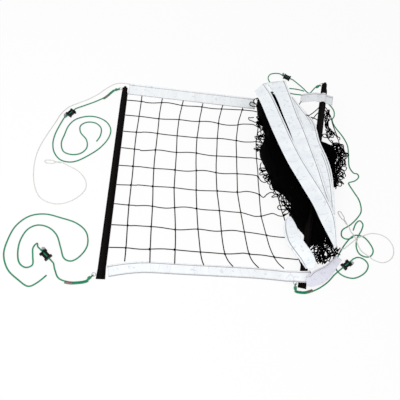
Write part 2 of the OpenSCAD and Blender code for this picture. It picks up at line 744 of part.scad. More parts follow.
// Long loop that closes on the serving's end
module eye() {
    far = serving_len + eye_r + eye_straight;
    color(cord_colour)
        difference() {
            union() {
                translate([far, 0, 0]) rotate(-90) rotate_extrude(angle = 180) translate([eye_r, 0]) circle(headline_r, $fn = 24);
                for (side = [-1, 1])
                    translate([serving_len + eye_r, side * eye_r, 0]) rotate([0, 90, 0]) cylinder(r = headline_r, h = eye_straight, $fn = 24);
                translate([serving_len + eye_r, 0, 0]) rotate(90) rotate_extrude(angle = 180) translate([eye_r, 0]) circle(headline_r, $fn = 24);
            }
            translate([serving_len - 10, -4, -4]) cube([10 + 2, 8, 8]);
        }
}

// ---------------------------------------------------------------- the assembly

netting();
netting_pile();
netting_pile_side();
top_tape();
top_tape_folds();
top_tape_end();
bottom_tape();
top_tape_turn();
bottom_tape_folds();
bottom_tape_end();
headline_core();
footline_core();
left_side() color(webbing_colour) sleeve();  // left_sleeve
left_side() color(rod_colour) rod();  // left_rod
left_side() color(plastic_colour) far_plug();  // left_rod_far_plug
left_side() color(plastic_colour) near_plug();  // left_rod_near_plug
right_side() color(webbing_colour) sleeve();  // right_sleeve
right_side() color(rod_colour) rod();  // right_rod
right_side() color(plastic_colour) far_plug();  // right_rod_far_plug
right_side() color(plastic_colour) near_plug();  // right_rod_near_plug
far_left_corner() color(steel_colour) ring();  // far_left_ring
near_left_corner() color(steel_colour) ring();  // near_left_ring
far_right_corner() color(steel_colour) ring();  // far_right_ring
near_right_corner() color(steel_colour) ring();  // near_right_ring
far_left_corner() color(rope_colour) knot();  // far_left_knot
near_left_corner() color(rope_colour) knot();  // near_left_knot
far_right_corner() color(rope_colour) knot();  // far_right_knot
near_right_corner() color(rope_colour) knot();  // near_right_knot
rope(far_left_route);  // far_left_rope
rope(near_left_route);  // near_left_rope
rope(far_right_route);  // far_right_rope
rope(near_right_route);  // near_right_rope
rope(far_right_tail_route);  // far_right_tail
tensioner_place(far_left_place) tensioner();  // far_left_tensioner
tensioner_place(near_left_place) tensioner();  // near_left_tensioner
tensioner_place(far_right_place) tensioner();  // far_right_tensioner
tensioner_place(near_right_place) tensioner();  // near_right_tensioner
tensioner_place(far_left_place) roller();  // far_left_roller
tensioner_place(near_left_place) roller();  // near_left_roller
tensioner_place(far_right_place) roller();  // far_right_roller
tensioner_place(near_right_place) roller();  // near_right_roller
tensioner_place(far_left_place) roller_pin();  // far_left_pin
tensioner_place(near_left_place) roller_pin();  // near_left_pin
tensioner_place(far_right_place) roller_pin();  // far_right_pin
tensioner_place(near_right_place) roller_pin();  // near_right_pin
headline(concat([left_headline_start], left_headline_route, [left_headline_finish]));  // left_headline
served_end(left_serving_at) serving();  // left_headline_serving
served_end(left_serving_at) eye();  // left_headline_eye
headline(concat([right_headline_start], right_headline_route, [right_headline_finish]));  // right_headline
served_end(right_serving_at) serving();  // right_headline_serving
served_end(right_serving_at) eye();  // right_headline_eye
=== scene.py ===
import math
import random

import bpy
import numpy as np
from mathutils import Matrix, Vector, noise


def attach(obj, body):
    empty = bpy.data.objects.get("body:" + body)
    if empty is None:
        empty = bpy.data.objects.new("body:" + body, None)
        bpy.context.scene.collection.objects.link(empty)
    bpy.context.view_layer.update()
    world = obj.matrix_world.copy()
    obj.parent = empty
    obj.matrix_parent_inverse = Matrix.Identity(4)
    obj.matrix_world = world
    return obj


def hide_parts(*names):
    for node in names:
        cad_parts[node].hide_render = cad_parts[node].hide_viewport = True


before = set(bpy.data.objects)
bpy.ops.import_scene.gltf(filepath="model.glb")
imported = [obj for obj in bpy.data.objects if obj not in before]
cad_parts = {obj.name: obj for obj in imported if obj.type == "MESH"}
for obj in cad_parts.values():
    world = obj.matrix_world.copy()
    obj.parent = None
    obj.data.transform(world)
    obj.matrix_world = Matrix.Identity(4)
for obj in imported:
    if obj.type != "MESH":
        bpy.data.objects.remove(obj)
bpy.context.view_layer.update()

print("stage: frame loaded")


# Lengths are in millimetres and angles in degrees, as in the part's source, until addPiece makes metres of them
def smoothLine(route, steps):
    # a smooth curve through every point of a route
    route = np.asarray(route, float)
    last = len(route) - 1
    line = []
    for i in range(last):
        p0, p1, p2, p3 = route[max(i - 1, 0)], route[i], route[i + 1], route[min(i + 2, last)]
        for k in range(steps):
            t = k / steps
            line.append(0.5 * (2 * p1 + (p2 - p0) * t + (2 * p0 - 5 * p1 + 4 * p2 - p3) * t ** 2
                               + (3 * p1 - p0 - 3 * p2 + p3) * t ** 3))
    line.append(route[last])
    return np.array(line)


def smoothNumbers(numbers, steps):
    return smoothLine([(a, 0, 0) for a in numbers], steps)[:, 0]


def laidLine(line, low):
    # the same line, nowhere lower than low
    line = np.array(line, float)
    line[:, 2] = np.maximum(line[:, 2], low)
    return line


def distances(line):
    return np.concatenate([[0], np.cumsum(np.linalg.norm(np.diff(line, axis=0), axis=1))])


def evenly(line, step):
    # the same line with a point about every step
    along = distances(line)
    wanted = np.linspace(0, along[-1], max(2, int(round(along[-1] / step)) + 1))
    return np.stack([np.interp(wanted, along, line[:, k]) for k in range(3)], axis=1)


def unitRows(rows):
    return rows / np.maximum(np.linalg.norm(rows, axis=1, keepdims=True), 1e-9)


def frameAlong(line):
    # at each point of a line the directions ahead, level to its left and square to both
    ahead = unitRows(np.gradient(line, axis=0))
    level = unitRows(np.cross((0.0, 0.0, 1.0), ahead))
    return ahead, level, np.cross(ahead, level)


def cosSin(angle):
    return math.cos(math.radians(angle)), math.sin(math.radians(angle))


def placed(at, yaw, along, across=0.0):
    # the x and y of a place measured along and across a direction, from the point at
    c, s = cosSin(yaw)
    return at[0] + along * c - across * s, at[1] + along * s + across * c


def valueAt(table, y, k=1):
    # column k of a table at y, its first column
    return float(np.interp(y, table[:, 0], table[:, k]))


def wobble(x, seed):
    # a smooth number from about -1 to 1 that never repeats within the piece
    return noise.noise(Vector((x, seed * 7.31, seed * 1.7)))


# A skin over closed rings; u is the place across each ring and v the distance along
def sweep(rings, across, along):
    rings = np.asarray(rings, float)
    n, m = rings.shape[:2]
    faces, uvs = [], []
    for i in range(n - 1):
        for k in range(m):
            j = (k + 1) % m
            faces.append([i * m + k, i * m + j, (i + 1) * m + j, (i + 1) * m + k])
            uvs += [(across[k], along[i]), (across[k + 1], along[i]),
                    (across[k + 1], along[i + 1]), (across[k], along[i + 1])]
    for i, order in ((0, range(m - 1, -1, -1)), (n - 1, range(m))):   # both ends are closed
        faces.append([i * m + k for k in order])
        uvs += [(across[k], along[i]) for k in order]
    return rings.reshape(-1, 3), faces, uvs


def tapeSkin(rings, section, along):
    # the places across the tape come from its section, which closes on its first point
    across = [x for x, z in section]
    return sweep(rings, across + across[:1], along)


def tube(line, radius, sides=6, rounded=True):
    line = np.asarray(line, float)
    radius = np.broadcast_to(np.asarray(radius, float), len(line)).copy()
    ahead = unitRows(np.gradient(line, axis=0))
    if rounded:   # a cut end that closes in two short steps
        line = np.concatenate([[line[0] - ahead[0] * radius[0] * out for out in (0.7, 0.4)], line,
                               [line[-1] + ahead[-1] * radius[-1] * out for out in (0.4, 0.7)]])
        radius = np.concatenate([radius[0] * np.array([0.4, 0.8]), radius, radius[-1] * np.array([0.8, 0.4])])
        ahead = np.concatenate([[ahead[0]] * 2, ahead, [ahead[-1]] * 2])
    side = np.cross(ahead[0], (0.0, 0.0, 1.0))
    if np.linalg.norm(side) < 0.1:
        side = np.cross(ahead[0], (0.0, 1.0, 0.0))
    sideRows = []
    for t in ahead:   # carried along without twist
        side = side - t * side.dot(t)
        side = side / np.linalg.norm(side)
        sideRows.append(side)
    sideRows = np.array(sideRows)
    upRows = np.cross(sideRows, ahead)
    turn = np.arange(sides) * 2 * math.pi / sides
    c, s = np.cos(turn)[None, :, None], np.sin(turn)[None, :, None]
    rings = line[:, None] + radius[:, None, None] * (c * sideRows[:, None] + s * upRows[:, None])
    girth = 2 * math.pi * float(radius.max())
    return sweep(rings, np.linspace(0, girth, sides + 1), distances(line))


def linear(code):
    # sRGB hex to the linear colour that a shader takes
    parts = [int(code[k:k + 2], 16) / 255 for k in (1, 3, 5)]
    return tuple(c / 12.92 if c <= 0.04045 else ((c + 0.055) / 1.055) ** 2.4 for c in parts) + (1.0,)


def addObject(name, data):
    added = bpy.data.objects.new(name, data)
    bpy.context.scene.collection.objects.link(added)
    return added


def addPiece(name, shapes, look, *replaced):
    # shapes is a list of (points, faces, uvs) and look is a material with its slot
    material, slot = look
    points, faces, uvs = [], [], []
    count = 0
    for shapePoints, shapeFaces, shapeUvs in shapes:
        points.append(shapePoints)
        faces += [[count + k for k in face] for face in shapeFaces]
        uvs += shapeUvs
        count += len(shapePoints)
    mesh = bpy.data.meshes.new(name)
    mesh.from_pydata((np.concatenate(points) / 1000).tolist(), [], faces)
    layer = mesh.uv_layers.new(name="cloth")
    layer.data.foreach_set("uv", (np.asarray(uvs, float) / 1000).ravel().astype(np.float32))
    mesh.materials.append(material)
    mesh.polygons.foreach_set("use_smooth", [True] * len(mesh.polygons))
    mesh.update()
    piece = addObject(name, mesh)
    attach(piece, "root")
    if replaced:
        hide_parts(*replaced)
    return piece


def addNode(material, kind, inputs=None, **settings):
    # one node in a material or a world, its settings, and its inputs as values or as sockets to link from
    node = material.node_tree.nodes.new(kind)
    for key, value in settings.items():
        setattr(node, key, value)
    for key, value in (inputs or {}).items():
        if isinstance(value, bpy.types.NodeSocket):
            material.node_tree.links.new(value, node.inputs[key])
        else:
            node.inputs[key].default_value = value
    return node


def calculate(material, operation, *values):
    return addNode(material, "ShaderNodeMath", dict(enumerate(values)), operation=operation).outputs[0]


def remap(material, source, *limits):
    # limits are the two values that the source runs between and the two that they become
    return addNode(material, "ShaderNodeMapRange", dict(enumerate([source, *limits]))).outputs[0]


def mixColours(material, share, *colours):
    # each colour is a hex code or a socket
    first, second = (linear(colour) if isinstance(colour, str) else colour for colour in colours)
    return addNode(material, "ShaderNodeMixRGB", {0: share, 1: first, 2: second}).outputs[0]


def clouds(material, place, scale, detail):
    inputs = {"Vector": place, "Scale": scale, "Detail": detail}
    return addNode(material, "ShaderNodeTexNoise", inputs).outputs[0]


def stretched(material, place, *scale):
    return addNode(material, "ShaderNodeMapping", {"Vector": place, "Scale": scale}).outputs[0]


def waves(material, place, pitch):
    return calculate(material, "SINE", calculate(material, "MULTIPLY", place, 2 * math.pi / pitch))


def clothPlace(material):
    # across and along the piece, in metres, as two sockets
    uv = addNode(material, "ShaderNodeUVMap", uv_map="cloth")
    parts = addNode(material, "ShaderNodeSeparateXYZ", {0: uv.outputs[0]})
    return parts.outputs[0], parts.outputs[1]


def objectPlace(material):
    return addNode(material, "ShaderNodeTexCoord").outputs["Object"]


def startMaterial(name, colour, roughness, metallic=0.0, ior=1.5, gloss=0.5, sheen=0.0):
    material = bpy.data.materials.new(name)
    material.use_nodes = True
    inputs = material.node_tree.nodes["Principled BSDF"].inputs
    for socket, value in (("Base Color", linear(colour)), ("Roughness", roughness), ("Metallic", metallic),
                          ("Specular IOR Level", gloss), ("Sheen Weight", sheen)):
        inputs[socket].default_value = value
    if metallic == 0:
        inputs["IOR"].default_value = ior
    return material


def dress(material, colour, height, strength, depth, roughness=None):
    # joins the colour, the relief and, where it varies, the roughness to the material
    bump = addNode(material, "ShaderNodeBump", {"Height": height, "Strength": strength, "Distance": depth})
    inputs = material.node_tree.nodes["Principled BSDF"].inputs
    material.node_tree.links.new(colour, inputs["Base Color"])
    material.node_tree.links.new(bump.outputs[0], inputs["Normal"])
    if roughness is not None:
        material.node_tree.links.new(roughness, inputs["Roughness"])
    return material


# Braided rope: plaits of split film, so a satin herringbone, with the gaps between plaits painted darker as
# painted shade
def braidedRope(name, colour, gapShade, plait, roughness):
    material = startMaterial(name, colour, roughness)
    around, along = clothPlace(material)
    # plaits are 1.5 mm on the real rope; plait, in metres, is larger so that they show
    left, right = (waves(material, calculate(material, way, around, along), plait)
                   for way in ("ADD", "SUBTRACT"))
    weave = calculate(material, "MULTIPLY", left, right)
    worn = clouds(material, objectPlace(material), 60.0, 2.0)
    # where the plaits dip, the colour turns to the darker one: painted shade in the gaps
    share = calculate(material, "MULTIPLY_ADD", remap(material, weave, -0.6, 0.6, 0.0, 1.0), worn, 0.1)
    return dress(material, mixColours(material, share, gapShade, colour), weave, 0.5, 0.0006)


# Coated polyester tape: vinyl on a woven scrim, so bluish white and satin, with puckers, fine creases and seams;
# the puckers' troughs and the creases are painted darker as painted shade
def coatedTape(name, colour, puckerShade, seams, crease=0.5):
    material = startMaterial(name, colour, 0.45, sheen=0.05)
    across, along = clothPlace(material)
    place = addNode(material, "ShaderNodeCombineXYZ", {0: across, 1: along}).outputs[0]
    # soft puckers lie square to the tape, 30 to 90 mm apart; the colour darkens into their troughs as painted
    # shade
    puckers = clouds(material, stretched(material, place, 7.0, 24.0, 1.0), 1.0, 2.0)
    colourNow = mixColours(material, remap(material, puckers, 0.32, 0.68, 0.0, 1.0), puckerShade, colour)
    # creases from folding are fine broken lines across the tape, painted darker as painted shade in the fold;
    # drawn 1.5 mm wide so that they show
    bent = clouds(material, stretched(material, place, 11.0, 30.0, 1.0), 1.0, 1.0)
    line = calculate(material, "COMPARE", bent, 0.5, 0.012)
    kept = calculate(material, "GREATER_THAN", clouds(material, place, 38.0, 1.0), 0.5)
    creaseShade = calculate(material, "MULTIPLY", calculate(material, "MULTIPLY", line, kept), 0.45)
    colourNow = mixColours(material, creaseShade, colourNow, "#c6c8d4")
    height = calculate(material, "SUBTRACT", puckers, creaseShade)
    for seam in seams:   # a row of 4 mm lockstitch sunk between the tape's two layers, with its groove's shadow
        near = calculate(material, "COMPARE", across, seam / 1000, 0.0015)
        beat = calculate(material, "FRACT", calculate(material, "MULTIPLY", along, 250.0))
        shown = calculate(material, "MULTIPLY", near, remap(material, beat, 0.6, 0.8, 0.95, 0.7))
        colourNow = mixColours(material, shown, colourNow, "#8d8b90")
        height = calculate(material, "SUBTRACT", height, near)
    return dress(material, colourNow, height, crease, 0.002)


# Twisted polyethylene twine: three plies, so near-black with a faint lay along it: its ply crests are painted a
# touch lighter, as a painted oily sheen, and its grooves darker, as painted shade
def twistedTwine():
    # gaps between the fibres swallow most of the gloss
    material = startMaterial("twistedPolyethyleneTwine", "#030303", 0.7, gloss=0.01)
    around, along = clothPlace(material)
    ply = waves(material, calculate(material, "MULTIPLY_ADD", around, 0.6, along), 0.004)
    # ply crests painted a touch lighter and grooves darker: painted sheen and painted shade
    colourNow = mixColours(material, remap(material, ply, -1.0, 1.0, 0.0, 1.0), "#010101", "#050505")
    return dress(material, colourNow, ply, 0.4, 0.0004)


# Woven polypropylene webbing: a ribbed weave, so dull black with faint cross ribs, their crests painted lighter
# and their hollows darker as painted light and shade, and grey wear in random patches
def wovenWebbing():
    material = startMaterial("wovenPolypropyleneWebbing", "#141112", 0.85, gloss=0.06)
    across, along = clothPlace(material)
    # ribs are 1.2 mm on the real webbing; drawn 3 mm apart so that they show
    weave = calculate(material, "MULTIPLY", waves(material, along, 0.003), waves(material, across, 0.004))
    worn = clouds(material, objectPlace(material), 90.0, 4.0)
    # painted light and shade on the ribs, added to random grey wear
    ribShadeAndWear = calculate(material, "MULTIPLY_ADD", weave, 0.25, worn)
    return dress(material, mixColours(material, ribShadeAndWear, "#040303", "#120d0d"), weave, 0.6, 0.0006)


# A plain finish with a fine texture: moulded, plated, drawn or spun
def plainFinish(name, colour, second, roughness, metallic=0.0, grain=400.0, relief=0.15, ior=1.5, gloss=0.5):
    material = startMaterial(name, colour, roughness, metallic, ior, gloss)
    place = objectPlace(material)
    colourNow = mixColours(material, clouds(material, place, grain / 4, 3.0), second, colour)
    grains = clouds(material, place, grain, 2.0)
    varied = remap(material, grains, 0.3, 0.7, roughness - 0.06, roughness + 0.06)
    return dress(material, colourNow, grains, relief, 0.0004, varied)


finishes = {
    "rope": braidedRope("braidedPolypropyleneRope", "#04a06e", "#047450", 0.005, 0.5),
    "headline": braidedRope("braidedPolyesterCord", "#f2f1ee", "#d3d1ce", 0.0035, 0.6),
    "twine": twistedTwine(),
    "webbing": wovenWebbing(),
    # moulded nylon: satin black, with the fine spark-eroded grain of its mould
    "nylon": plainFinish("mouldedNylon", "#070607", "#0d0c0d", 0.42, grain=700.0, gloss=0.12),
    # moulded polyethylene: waxy black
    "plug": plainFinish("mouldedPolyethylene", "#17171a", "#101012", 0.5, grain=500.0),
    # zinc-plated steel wire and turned steel: grey metal with a slightly cloudy shine
    "steel": plainFinish("zincPlatedSteel", "#b9babd", "#8e9095", 0.32, 1.0, 300.0, 0.1),
    # pultruded fibreglass: straw-coloured resin with lengthwise fibres under it
    "rod": plainFinish("pultrudedFibreglass", "#d9cfa4", "#c3b786", 0.35, grain=260.0, ior=1.55),
    # shrunk tubing over a rope's end: thin clear film on a brown-red band, so dark with a hard glint
    "whipping": plainFinish("shrunkPolyolefinTube", "#8a5a5c", "#4e2629", 0.22, grain=500.0, relief=0.3),
}
greenRope, whiteCord = (finishes["rope"], "green_rope"), (finishes["headline"], "white_cord")
netTwine = (finishes["twine"], "net_twine")
print("stage: materials made")

# Camera, floor and lamps, in metres
camera = dict(place=(-0.3536, -1.0377, 1.5306), right=(0.9917, 0.0014, 0.1288), up=(-0.0656, 0.8660, 0.4957),
              back=(-0.1108, -0.5000, 0.8589), lens=36.0, sensor=36.0)
studio = dict(floorHalf=9.0, white=0.85, skyLight=0.72, keyWatts=48.0, keyPlace=(-1.6, -1.4, 2.9), keySize=1.6)

cameraData = bpy.data.cameras.new("camera")
cameraData.lens = camera["lens"]
cameraData.sensor_width = camera["sensor"]
cameraObject = addObject("camera", cameraData)
turned = Matrix([camera["right"], camera["up"], camera["back"]]).transposed().to_4x4()
cameraObject.matrix_world = Matrix.Translation(camera["place"]) @ turned
bpy.context.scene.camera = cameraObject


def seenDirectly(material):
    # 1 for what the camera, a mirror or glass sees, and 0 for light on the object
    rays = addNode(material, "ShaderNodeLightPath").outputs
    first = calculate(material, "MAXIMUM", rays["Is Camera Ray"], rays["Is Glossy Ray"])
    return calculate(material, "MAXIMUM", first, rays["Is Transmission Ray"])


def whiteLight(material, kind, strength):
    return addNode(material, kind, {"Color": (1.0, 1.0, 1.0, 1.0), "Strength": strength}).outputs[0]


floorMaterial = bpy.data.materials.new("whitePaperSweep")
floorMaterial.use_nodes = True
floorMaterial.node_tree.nodes.clear()
paper = addNode(floorMaterial, "ShaderNodeBsdfDiffuse", {"Color": linear("#f6f6f6")})
glow = whiteLight(floorMaterial, "ShaderNodeEmission", 1.0)
share = calculate(floorMaterial, "MULTIPLY", seenDirectly(floorMaterial), studio["white"])
blended = addNode(floorMaterial, "ShaderNodeMixShader", {0: share, 1: paper.outputs[0], 2: glow})
addNode(floorMaterial, "ShaderNodeOutputMaterial", {"Surface": blended.outputs[0]})

half = studio["floorHalf"]
floorMesh = bpy.data.meshes.new("floor")
floorMesh.from_pydata([(-half, -half, 0), (half, -half, 0), (half, half, 0), (-half, half, 0)], [],
                      [(0, 1, 2, 3)])
floorMesh.materials.append(floorMaterial)
floor = addObject("floor", floorMesh)

world = bpy.data.worlds.new("studio")
bpy.context.scene.world = world
world.use_nodes = True
world.node_tree.nodes.clear()
sky, plain = (whiteLight(world, "ShaderNodeBackground", strength) for strength in (studio["skyLight"], 1.0))
either = addNode(world, "ShaderNodeMixShader", {0: seenDirectly(world), 1: sky, 2: plain})
addNode(world, "ShaderNodeOutputWorld", {"Surface": either.outputs[0]})

keyData = bpy.data.lights.new("keyLamp", "AREA")
keyData.energy = studio["keyWatts"]
keyData.size = studio["keySize"]
key = addObject("keyLamp", keyData)
key.location = studio["keyPlace"]
key.rotation_euler = (-Vector(studio["keyPlace"])).to_track_quat("-Z", "Y").to_euler()   # towards the origin
bpy.context.scene.view_settings.view_transform = "Standard"
print("stage: camera, floor and lamps")

# Ropes: their sizes, the places and directions of the tensioners and rings, and the routes of the cords
ropes = dict(diameter=6.0, headline=4.0, knot=5.0, holeHeight=8.0, steps=6, laid=3, headlineLaid=2)
tensioners = {"far_left": (-787, 280, 236), "near_left": (-768, -440, 138),
              "far_right": (328, 684, 153), "near_right": (478, -419, 37)}
rings = dict(radius=7.5, bight=4.1, coils=3, height=6.6)
rightSide = dict(foot=(264, -532, 0), turn=10.2, tilt=10.8)
leftSide = dict(foot=(-544, -530, 0), turn=0.0, tilt=0.0)
corners = {"far_left": ((-568, 474, 6.6), 205), "near_left": ((-571, -514, 6.6), 225),
           "near_right": ((236, -513, 6.6), 265)}
guides = (-42, -27, 27, 42)   # where a rope is held, along its tensioner
hungKnot = dict(x=-20, y=1004, drop=60)   # the far right rope hangs from the raised end of its sleeve
knotFrom = rings["radius"] + rings["bight"] + ropes["knot"] / 2 + 0.3
knotTo = knotFrom + rings["coils"] * (ropes["knot"] - 0.4)
# the knot's own tail runs beside the rope for a length and is whipped to it
strand = dict(length=88.0, apart=0.98, whippingWide=6.3, whippingHigh=3.4)


def through(name):
    x, y, yaw = tensioners[name]
    return [(*placed((x, y), yaw, along), ropes["holeHeight"]) for along in guides]


def fromSide(side, p):
    # a point of a side's own frame, its rod along +Y, in the row frame
    (c, s), (tiltC, tiltS), (x, y, z) = cosSin(side["turn"]), cosSin(side["tilt"]), side["foot"]
    level = p[1] * tiltC - p[2] * tiltS
    return np.array([x + p[0] * c + level * s, y + level * c - p[0] * s, z + (p[1] * tiltS + p[2] * tiltC)])


def fromKnot(name, p):
    # a point of a knot's own frame, its rope along +X, in the row frame
    x, y, z = p
    if name == "far_right":
        c, s = cosSin(hungKnot["drop"])
        return fromSide(rightSide, (hungKnot["x"] - x * c + z * s, hungKnot["y"] - y,
                                    rings["height"] - x * s - z * c))
    place, yaw = corners[name]
    return np.array([*placed(place, yaw, x, y), place[2] + z])


def knotEnd(name):
    return [fromKnot(name, (knotTo + past, 0, 0)) for past in (0.8, 9)]


# A route's points without a height lie on the floor
ropeRoutes = {
    "far_left_rope": [
        *knotEnd("far_left"), (-612, 448), (-640, 408), (-680, 375), (-725, 342, 6), *through("far_left"),
        (-828, 185), (-835, 140), (-834, 95), (-820, 50), (-790, 14), (-752, 3), (-715, 12), (-672, 44),
        (-625, 92), (-593, 150), (-586, 205), (-610, 250), (-655, 275), (-705, 276), (-755, 252), (-782, 210),
        (-792, 155), (-798, 105), (-782, 60), (-745, 45), (-705, 55), (-682, 90), (-690, 135), (-722, 175),
        (-728, 215), (-700, 240), (-660, 238), (-632, 210), (-630, 165), (-643, 131),
    ],
    "near_left_rope": [
        *knotEnd("near_left"), (-620, -545, 4), (-660, -547), (-700, -534), (-720, -500, 4), (-728, -478, 7),
        *through("near_left"), (-806, -396, 5), (-818, -416), (-812, -450), (-806, -485), (-830, -497),
        (-857, -478), (-871, -435), (-872, -385), (-855, -338), (-820, -316), (-775, -324), (-738, -356),
        (-714, -408), (-694, -452), (-662, -462), (-630, -435), (-612, -390), (-625, -335), (-670, -297),
        (-735, -277), (-800, -264), (-860, -278), (-903, -325), (-920, -390), (-920, -450), (-892, -508),
        (-845, -547), (-805, -570), (-775, -555), (-746, -524),
    ],
    "far_right_rope": [
        *knotEnd("far_right"), (404, 462, 140), (418, 500, 85), (434, 545, 35), (436, 580, 8), (420, 612),
        (394, 640, 5), *through("far_right"), (262, 706), (235, 690), (225, 655), (245, 615), (290, 580),
        (350, 562), (420, 558), (490, 545), (545, 518), (572, 470), (568, 425), (552, 396), (560, 350),
        (590, 290), (606, 230), (598, 160), (590, 100), (604, 64), (624, 58), (626, 38), (602, 16), (572, 4),
        (568, -8), (585, -50), (602, -95), (600, -150), (572, -190), (530, -228), (490, -254), (479, -282),
        (490, -297), (510, -298), (532, -288),
    ],
    "near_right_rope": [
        *knotEnd("near_right"), (250, -553), (276, -553), (308, -543), (342, -527), (380, -501, 4),
        (412, -470, 6), *through("near_right"), (538, -384), (565, -395), (575, -418), (560, -446),
        (530, -468), (495, -480), (458, -474), (432, -455), (424, -428), (438, -396), (455, -368),
        (485, -328, 3.6), (518, -294, 9.8), (550, -278, 5), (590, -290), (614, -340), (600, -372), (572, -380),
        (545, -366), (538, -335), (546, -300, 7), (560, -277, 9), (580, -250, 5), (592, -222, 5),
        (578, -206, 9), (556, -222, 9), (540, -254),
    ],
    "far_right_tail": [(423, 590), (404, 596), (372, 600), (340, 600)],
}
tapeTop = dict(left=-526.0, middle=482.0, turn=-1.8, length=660.0, width=75.0)
hemOffset = tapeTop["width"] / 2 - ropes["headline"] / 2 - 1.6
leftStart = (*placed((tapeTop["left"] - 0.6, tapeTop["middle"]), tapeTop["turn"], 0, hemOffset),
             ropes["headline"] / 2 + 1.6)
servings = {"left": (-784, -3, 180), "right": (514, -223, 112)}
headlineRoutes = {
    "left_headline": [
        leftStart, (-545, 517, 3), (-575, 517), (-605, 503), (-640, 468), (-675, 425), (-715, 388),
        (-760, 356), (-800, 325), (-828, 280), (-845, 225), (-870, 145), (-888, 75), (-894, 10), (-888, -60),
        (-870, -130), (-838, -185), (-790, -210), (-740, -209), (-690, -180), (-658, -135), (-664, -85),
        (-700, -42), (-745, -18), (-770, -5, 3), (-783.6, -3, 4),
    ],
    "right_headline": [
        (433, -374, 50), (444, -366, 38), (462, -352, 16), (482, -345, 3), (512, -322, 5), (545, -298, 14),
        (582, -280, 9), (625, -264), (670, -268), (704, -293), (714, -335), (695, -378), (652, -402),
        (612, -396, 4), (585, -380, 9), (558, -355, 5), (545, -330, 9), (537, -305, 15), (532, -286, 15),
        (526, -262, 6), (520, -241, 9.6), (516, -230, 6.4), (514, -223.6, 4),
    ],
}


def cordPiece(name, route, laid, diameter, look):
    points = [point if len(point) == 3 else (*point, laid) for point in route]
    line = laidLine(smoothLine(points, ropes["steps"]), diameter / 2)
    return addPiece(name + "_braid", [tube(line, diameter / 2, 12, rounded=False)], look, name), line


# A half hitch round the ring and three wraps round the standing rope
def knotShapes(name):
    wire, bight = rings["radius"], rings["bight"]
    loop = [(wire + bight * math.cos(a) + 0.15 * (a / math.pi), 0.9 * math.sin(a / 2), bight * math.sin(a))
            for a in np.linspace(0.35 * math.pi, 1.95 * math.pi, 14)]
    wraps = [(knotFrom + 1.2 + (knotTo - knotFrom - 2.4) * t, 4.2 * math.cos(2 * math.pi * 3.2 * t),
              4.2 * math.sin(2 * math.pi * 3.2 * t)) for t in np.linspace(0, 1, 46)]
    core = [(wire + bight + 1, 0, 0), ((knotFrom + knotTo) / 2, 0, 0), (knotTo + 2, 0, 0)]
    return [tube([fromKnot(name, p) for p in line], ropes["knot"] / 2, 10) for line in (loop, wraps, core)]


def strandBeside(line, name):
    # from the knot along the rope's left side, ended by a red whipping
    along = distances(line)
    picked = line[(along > 2) & (along < strand["length"])]
    ahead, level, up = frameAlong(picked)
    beside = laidLine(picked + level * ropes["diameter"] * strand["apart"], ropes["diameter"] / 2)
    band = evenly((beside[-5:] + picked[-5:]) / 2, 1.5)
    ahead, level, up = frameAlong(band)
    around = np.linspace(0, 2 * math.pi, 15)[:-1]
    oval = [[p + side * strand["whippingWide"] * math.cos(a) + top * strand["whippingHigh"] * math.sin(a)
             for a in around] for p, side, top in zip(band, level, up)]
    whip = sweep(oval, np.linspace(0, 20, 15), distances(band))
    return [addPiece(name + "_strand", [tube(beside, ropes["diameter"] / 2, 10)], greenRope),
            addPiece(name + "_whipping", [whip], (finishes["whipping"], "white_cord"))]


for corner in ("far_left", "near_left", "far_right", "near_right"):
    name = corner + "_rope"
    piece, line = cordPiece(name, ropeRoutes[name], ropes["laid"], ropes["diameter"], greenRope)
    extra = [addPiece(corner + "_hitch", knotShapes(corner), greenRope, corner + "_knot")]
    extra += [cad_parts[corner + part] for part in ("_tensioner", "_roller", "_pin")]
    if corner != "far_right":
        extra += strandBeside(line, corner)
name = "far_right_tail"
piece, line = cordPiece(name, ropeRoutes[name], ropes["laid"], ropes["diameter"], greenRope)

serving = dict(length=24, rows=33, height=4.0, radius=3.6, ridge=0.45, taper=0.9)
eyeLoop = dict(half=8.0, start=24.0, straight=27.0, height=3.2, radius=2.0)


def servingShape(at):
    # close turns of thread round the spliced end
    last = serving["rows"] - 1
    line = [(*placed(at, at[2], along), serving["height"])
            for along in np.linspace(0, serving["length"], last + 1)]
    radius = [serving["radius"] + serving["ridge"] * math.sin(2 * math.pi * k / 4)
              - (serving["taper"] if k in (0, last) else 0) for k in range(last + 1)]
    return [tube(line, radius, 12)]


def eyeShape(at):
    # a long loop of the cord itself, closed at the serving; half of it is drawn and the other half mirrors it
    half, start, straight = eyeLoop["half"], eyeLoop["start"], eyeLoop["straight"]
    local = [(start - 2, 2.2), (start + 5, 6.8)]
    local += [(start + half + straight * t, half + 0.6 * math.sin(math.pi * t)) for t in (0.1, 0.5, 0.9)]
    local += [(start + half + straight + half * math.cos(a), half * math.sin(a)) for a in np.radians([70, 40])]
    tip = (start + half + straight + half, 0.0)
    local = local + [tip] + [(along, -across) for along, across in local[::-1]]
    points = smoothLine([(*placed(at, at[2], along, across), eyeLoop["height"]) for along, across in local], 5)
    return [tube(laidLine(points, eyeLoop["radius"]), eyeLoop["radius"], 10)]


for side in ("left", "right"):
    name = side + "_headline"
    piece, line = cordPiece(name, headlineRoutes[name], ropes["headlineLaid"], ropes["headline"], whiteCord)
    extra = [addPiece(name + "_thread", servingShape(servings[side]), whiteCord, name + "_serving"),
             addPiece(name + "_loop", eyeShape(servings[side]), whiteCord, name + "_eye")]
print("stage: ropes and headline cords")

# Hard parts keep their CAD shape; each name's ending says what the part is made of
hardFinishes = {"_tensioner": "nylon", "_roller": "steel", "_pin": "steel", "_ring": "steel", "_rod": "rod",
                "_plug": "plug", "line_core": "headline"}
for nodeName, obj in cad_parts.items():
    for ending, finish in hardFinishes.items():
        if nodeName.endswith(ending):
            obj.data.materials.clear()
            obj.data.materials.append(finishes[finish])

# The hems of each sleeve flare at its mouth and narrow past the far tape
sleeve = dict(length=1020.0, half=16.0, arch=6.6, bore=5.4, centre=6.6, mouth=40, flare=2, rightEnd=42,
              rightNarrowing=4, leftEnd=102, leftNarrowing=2)


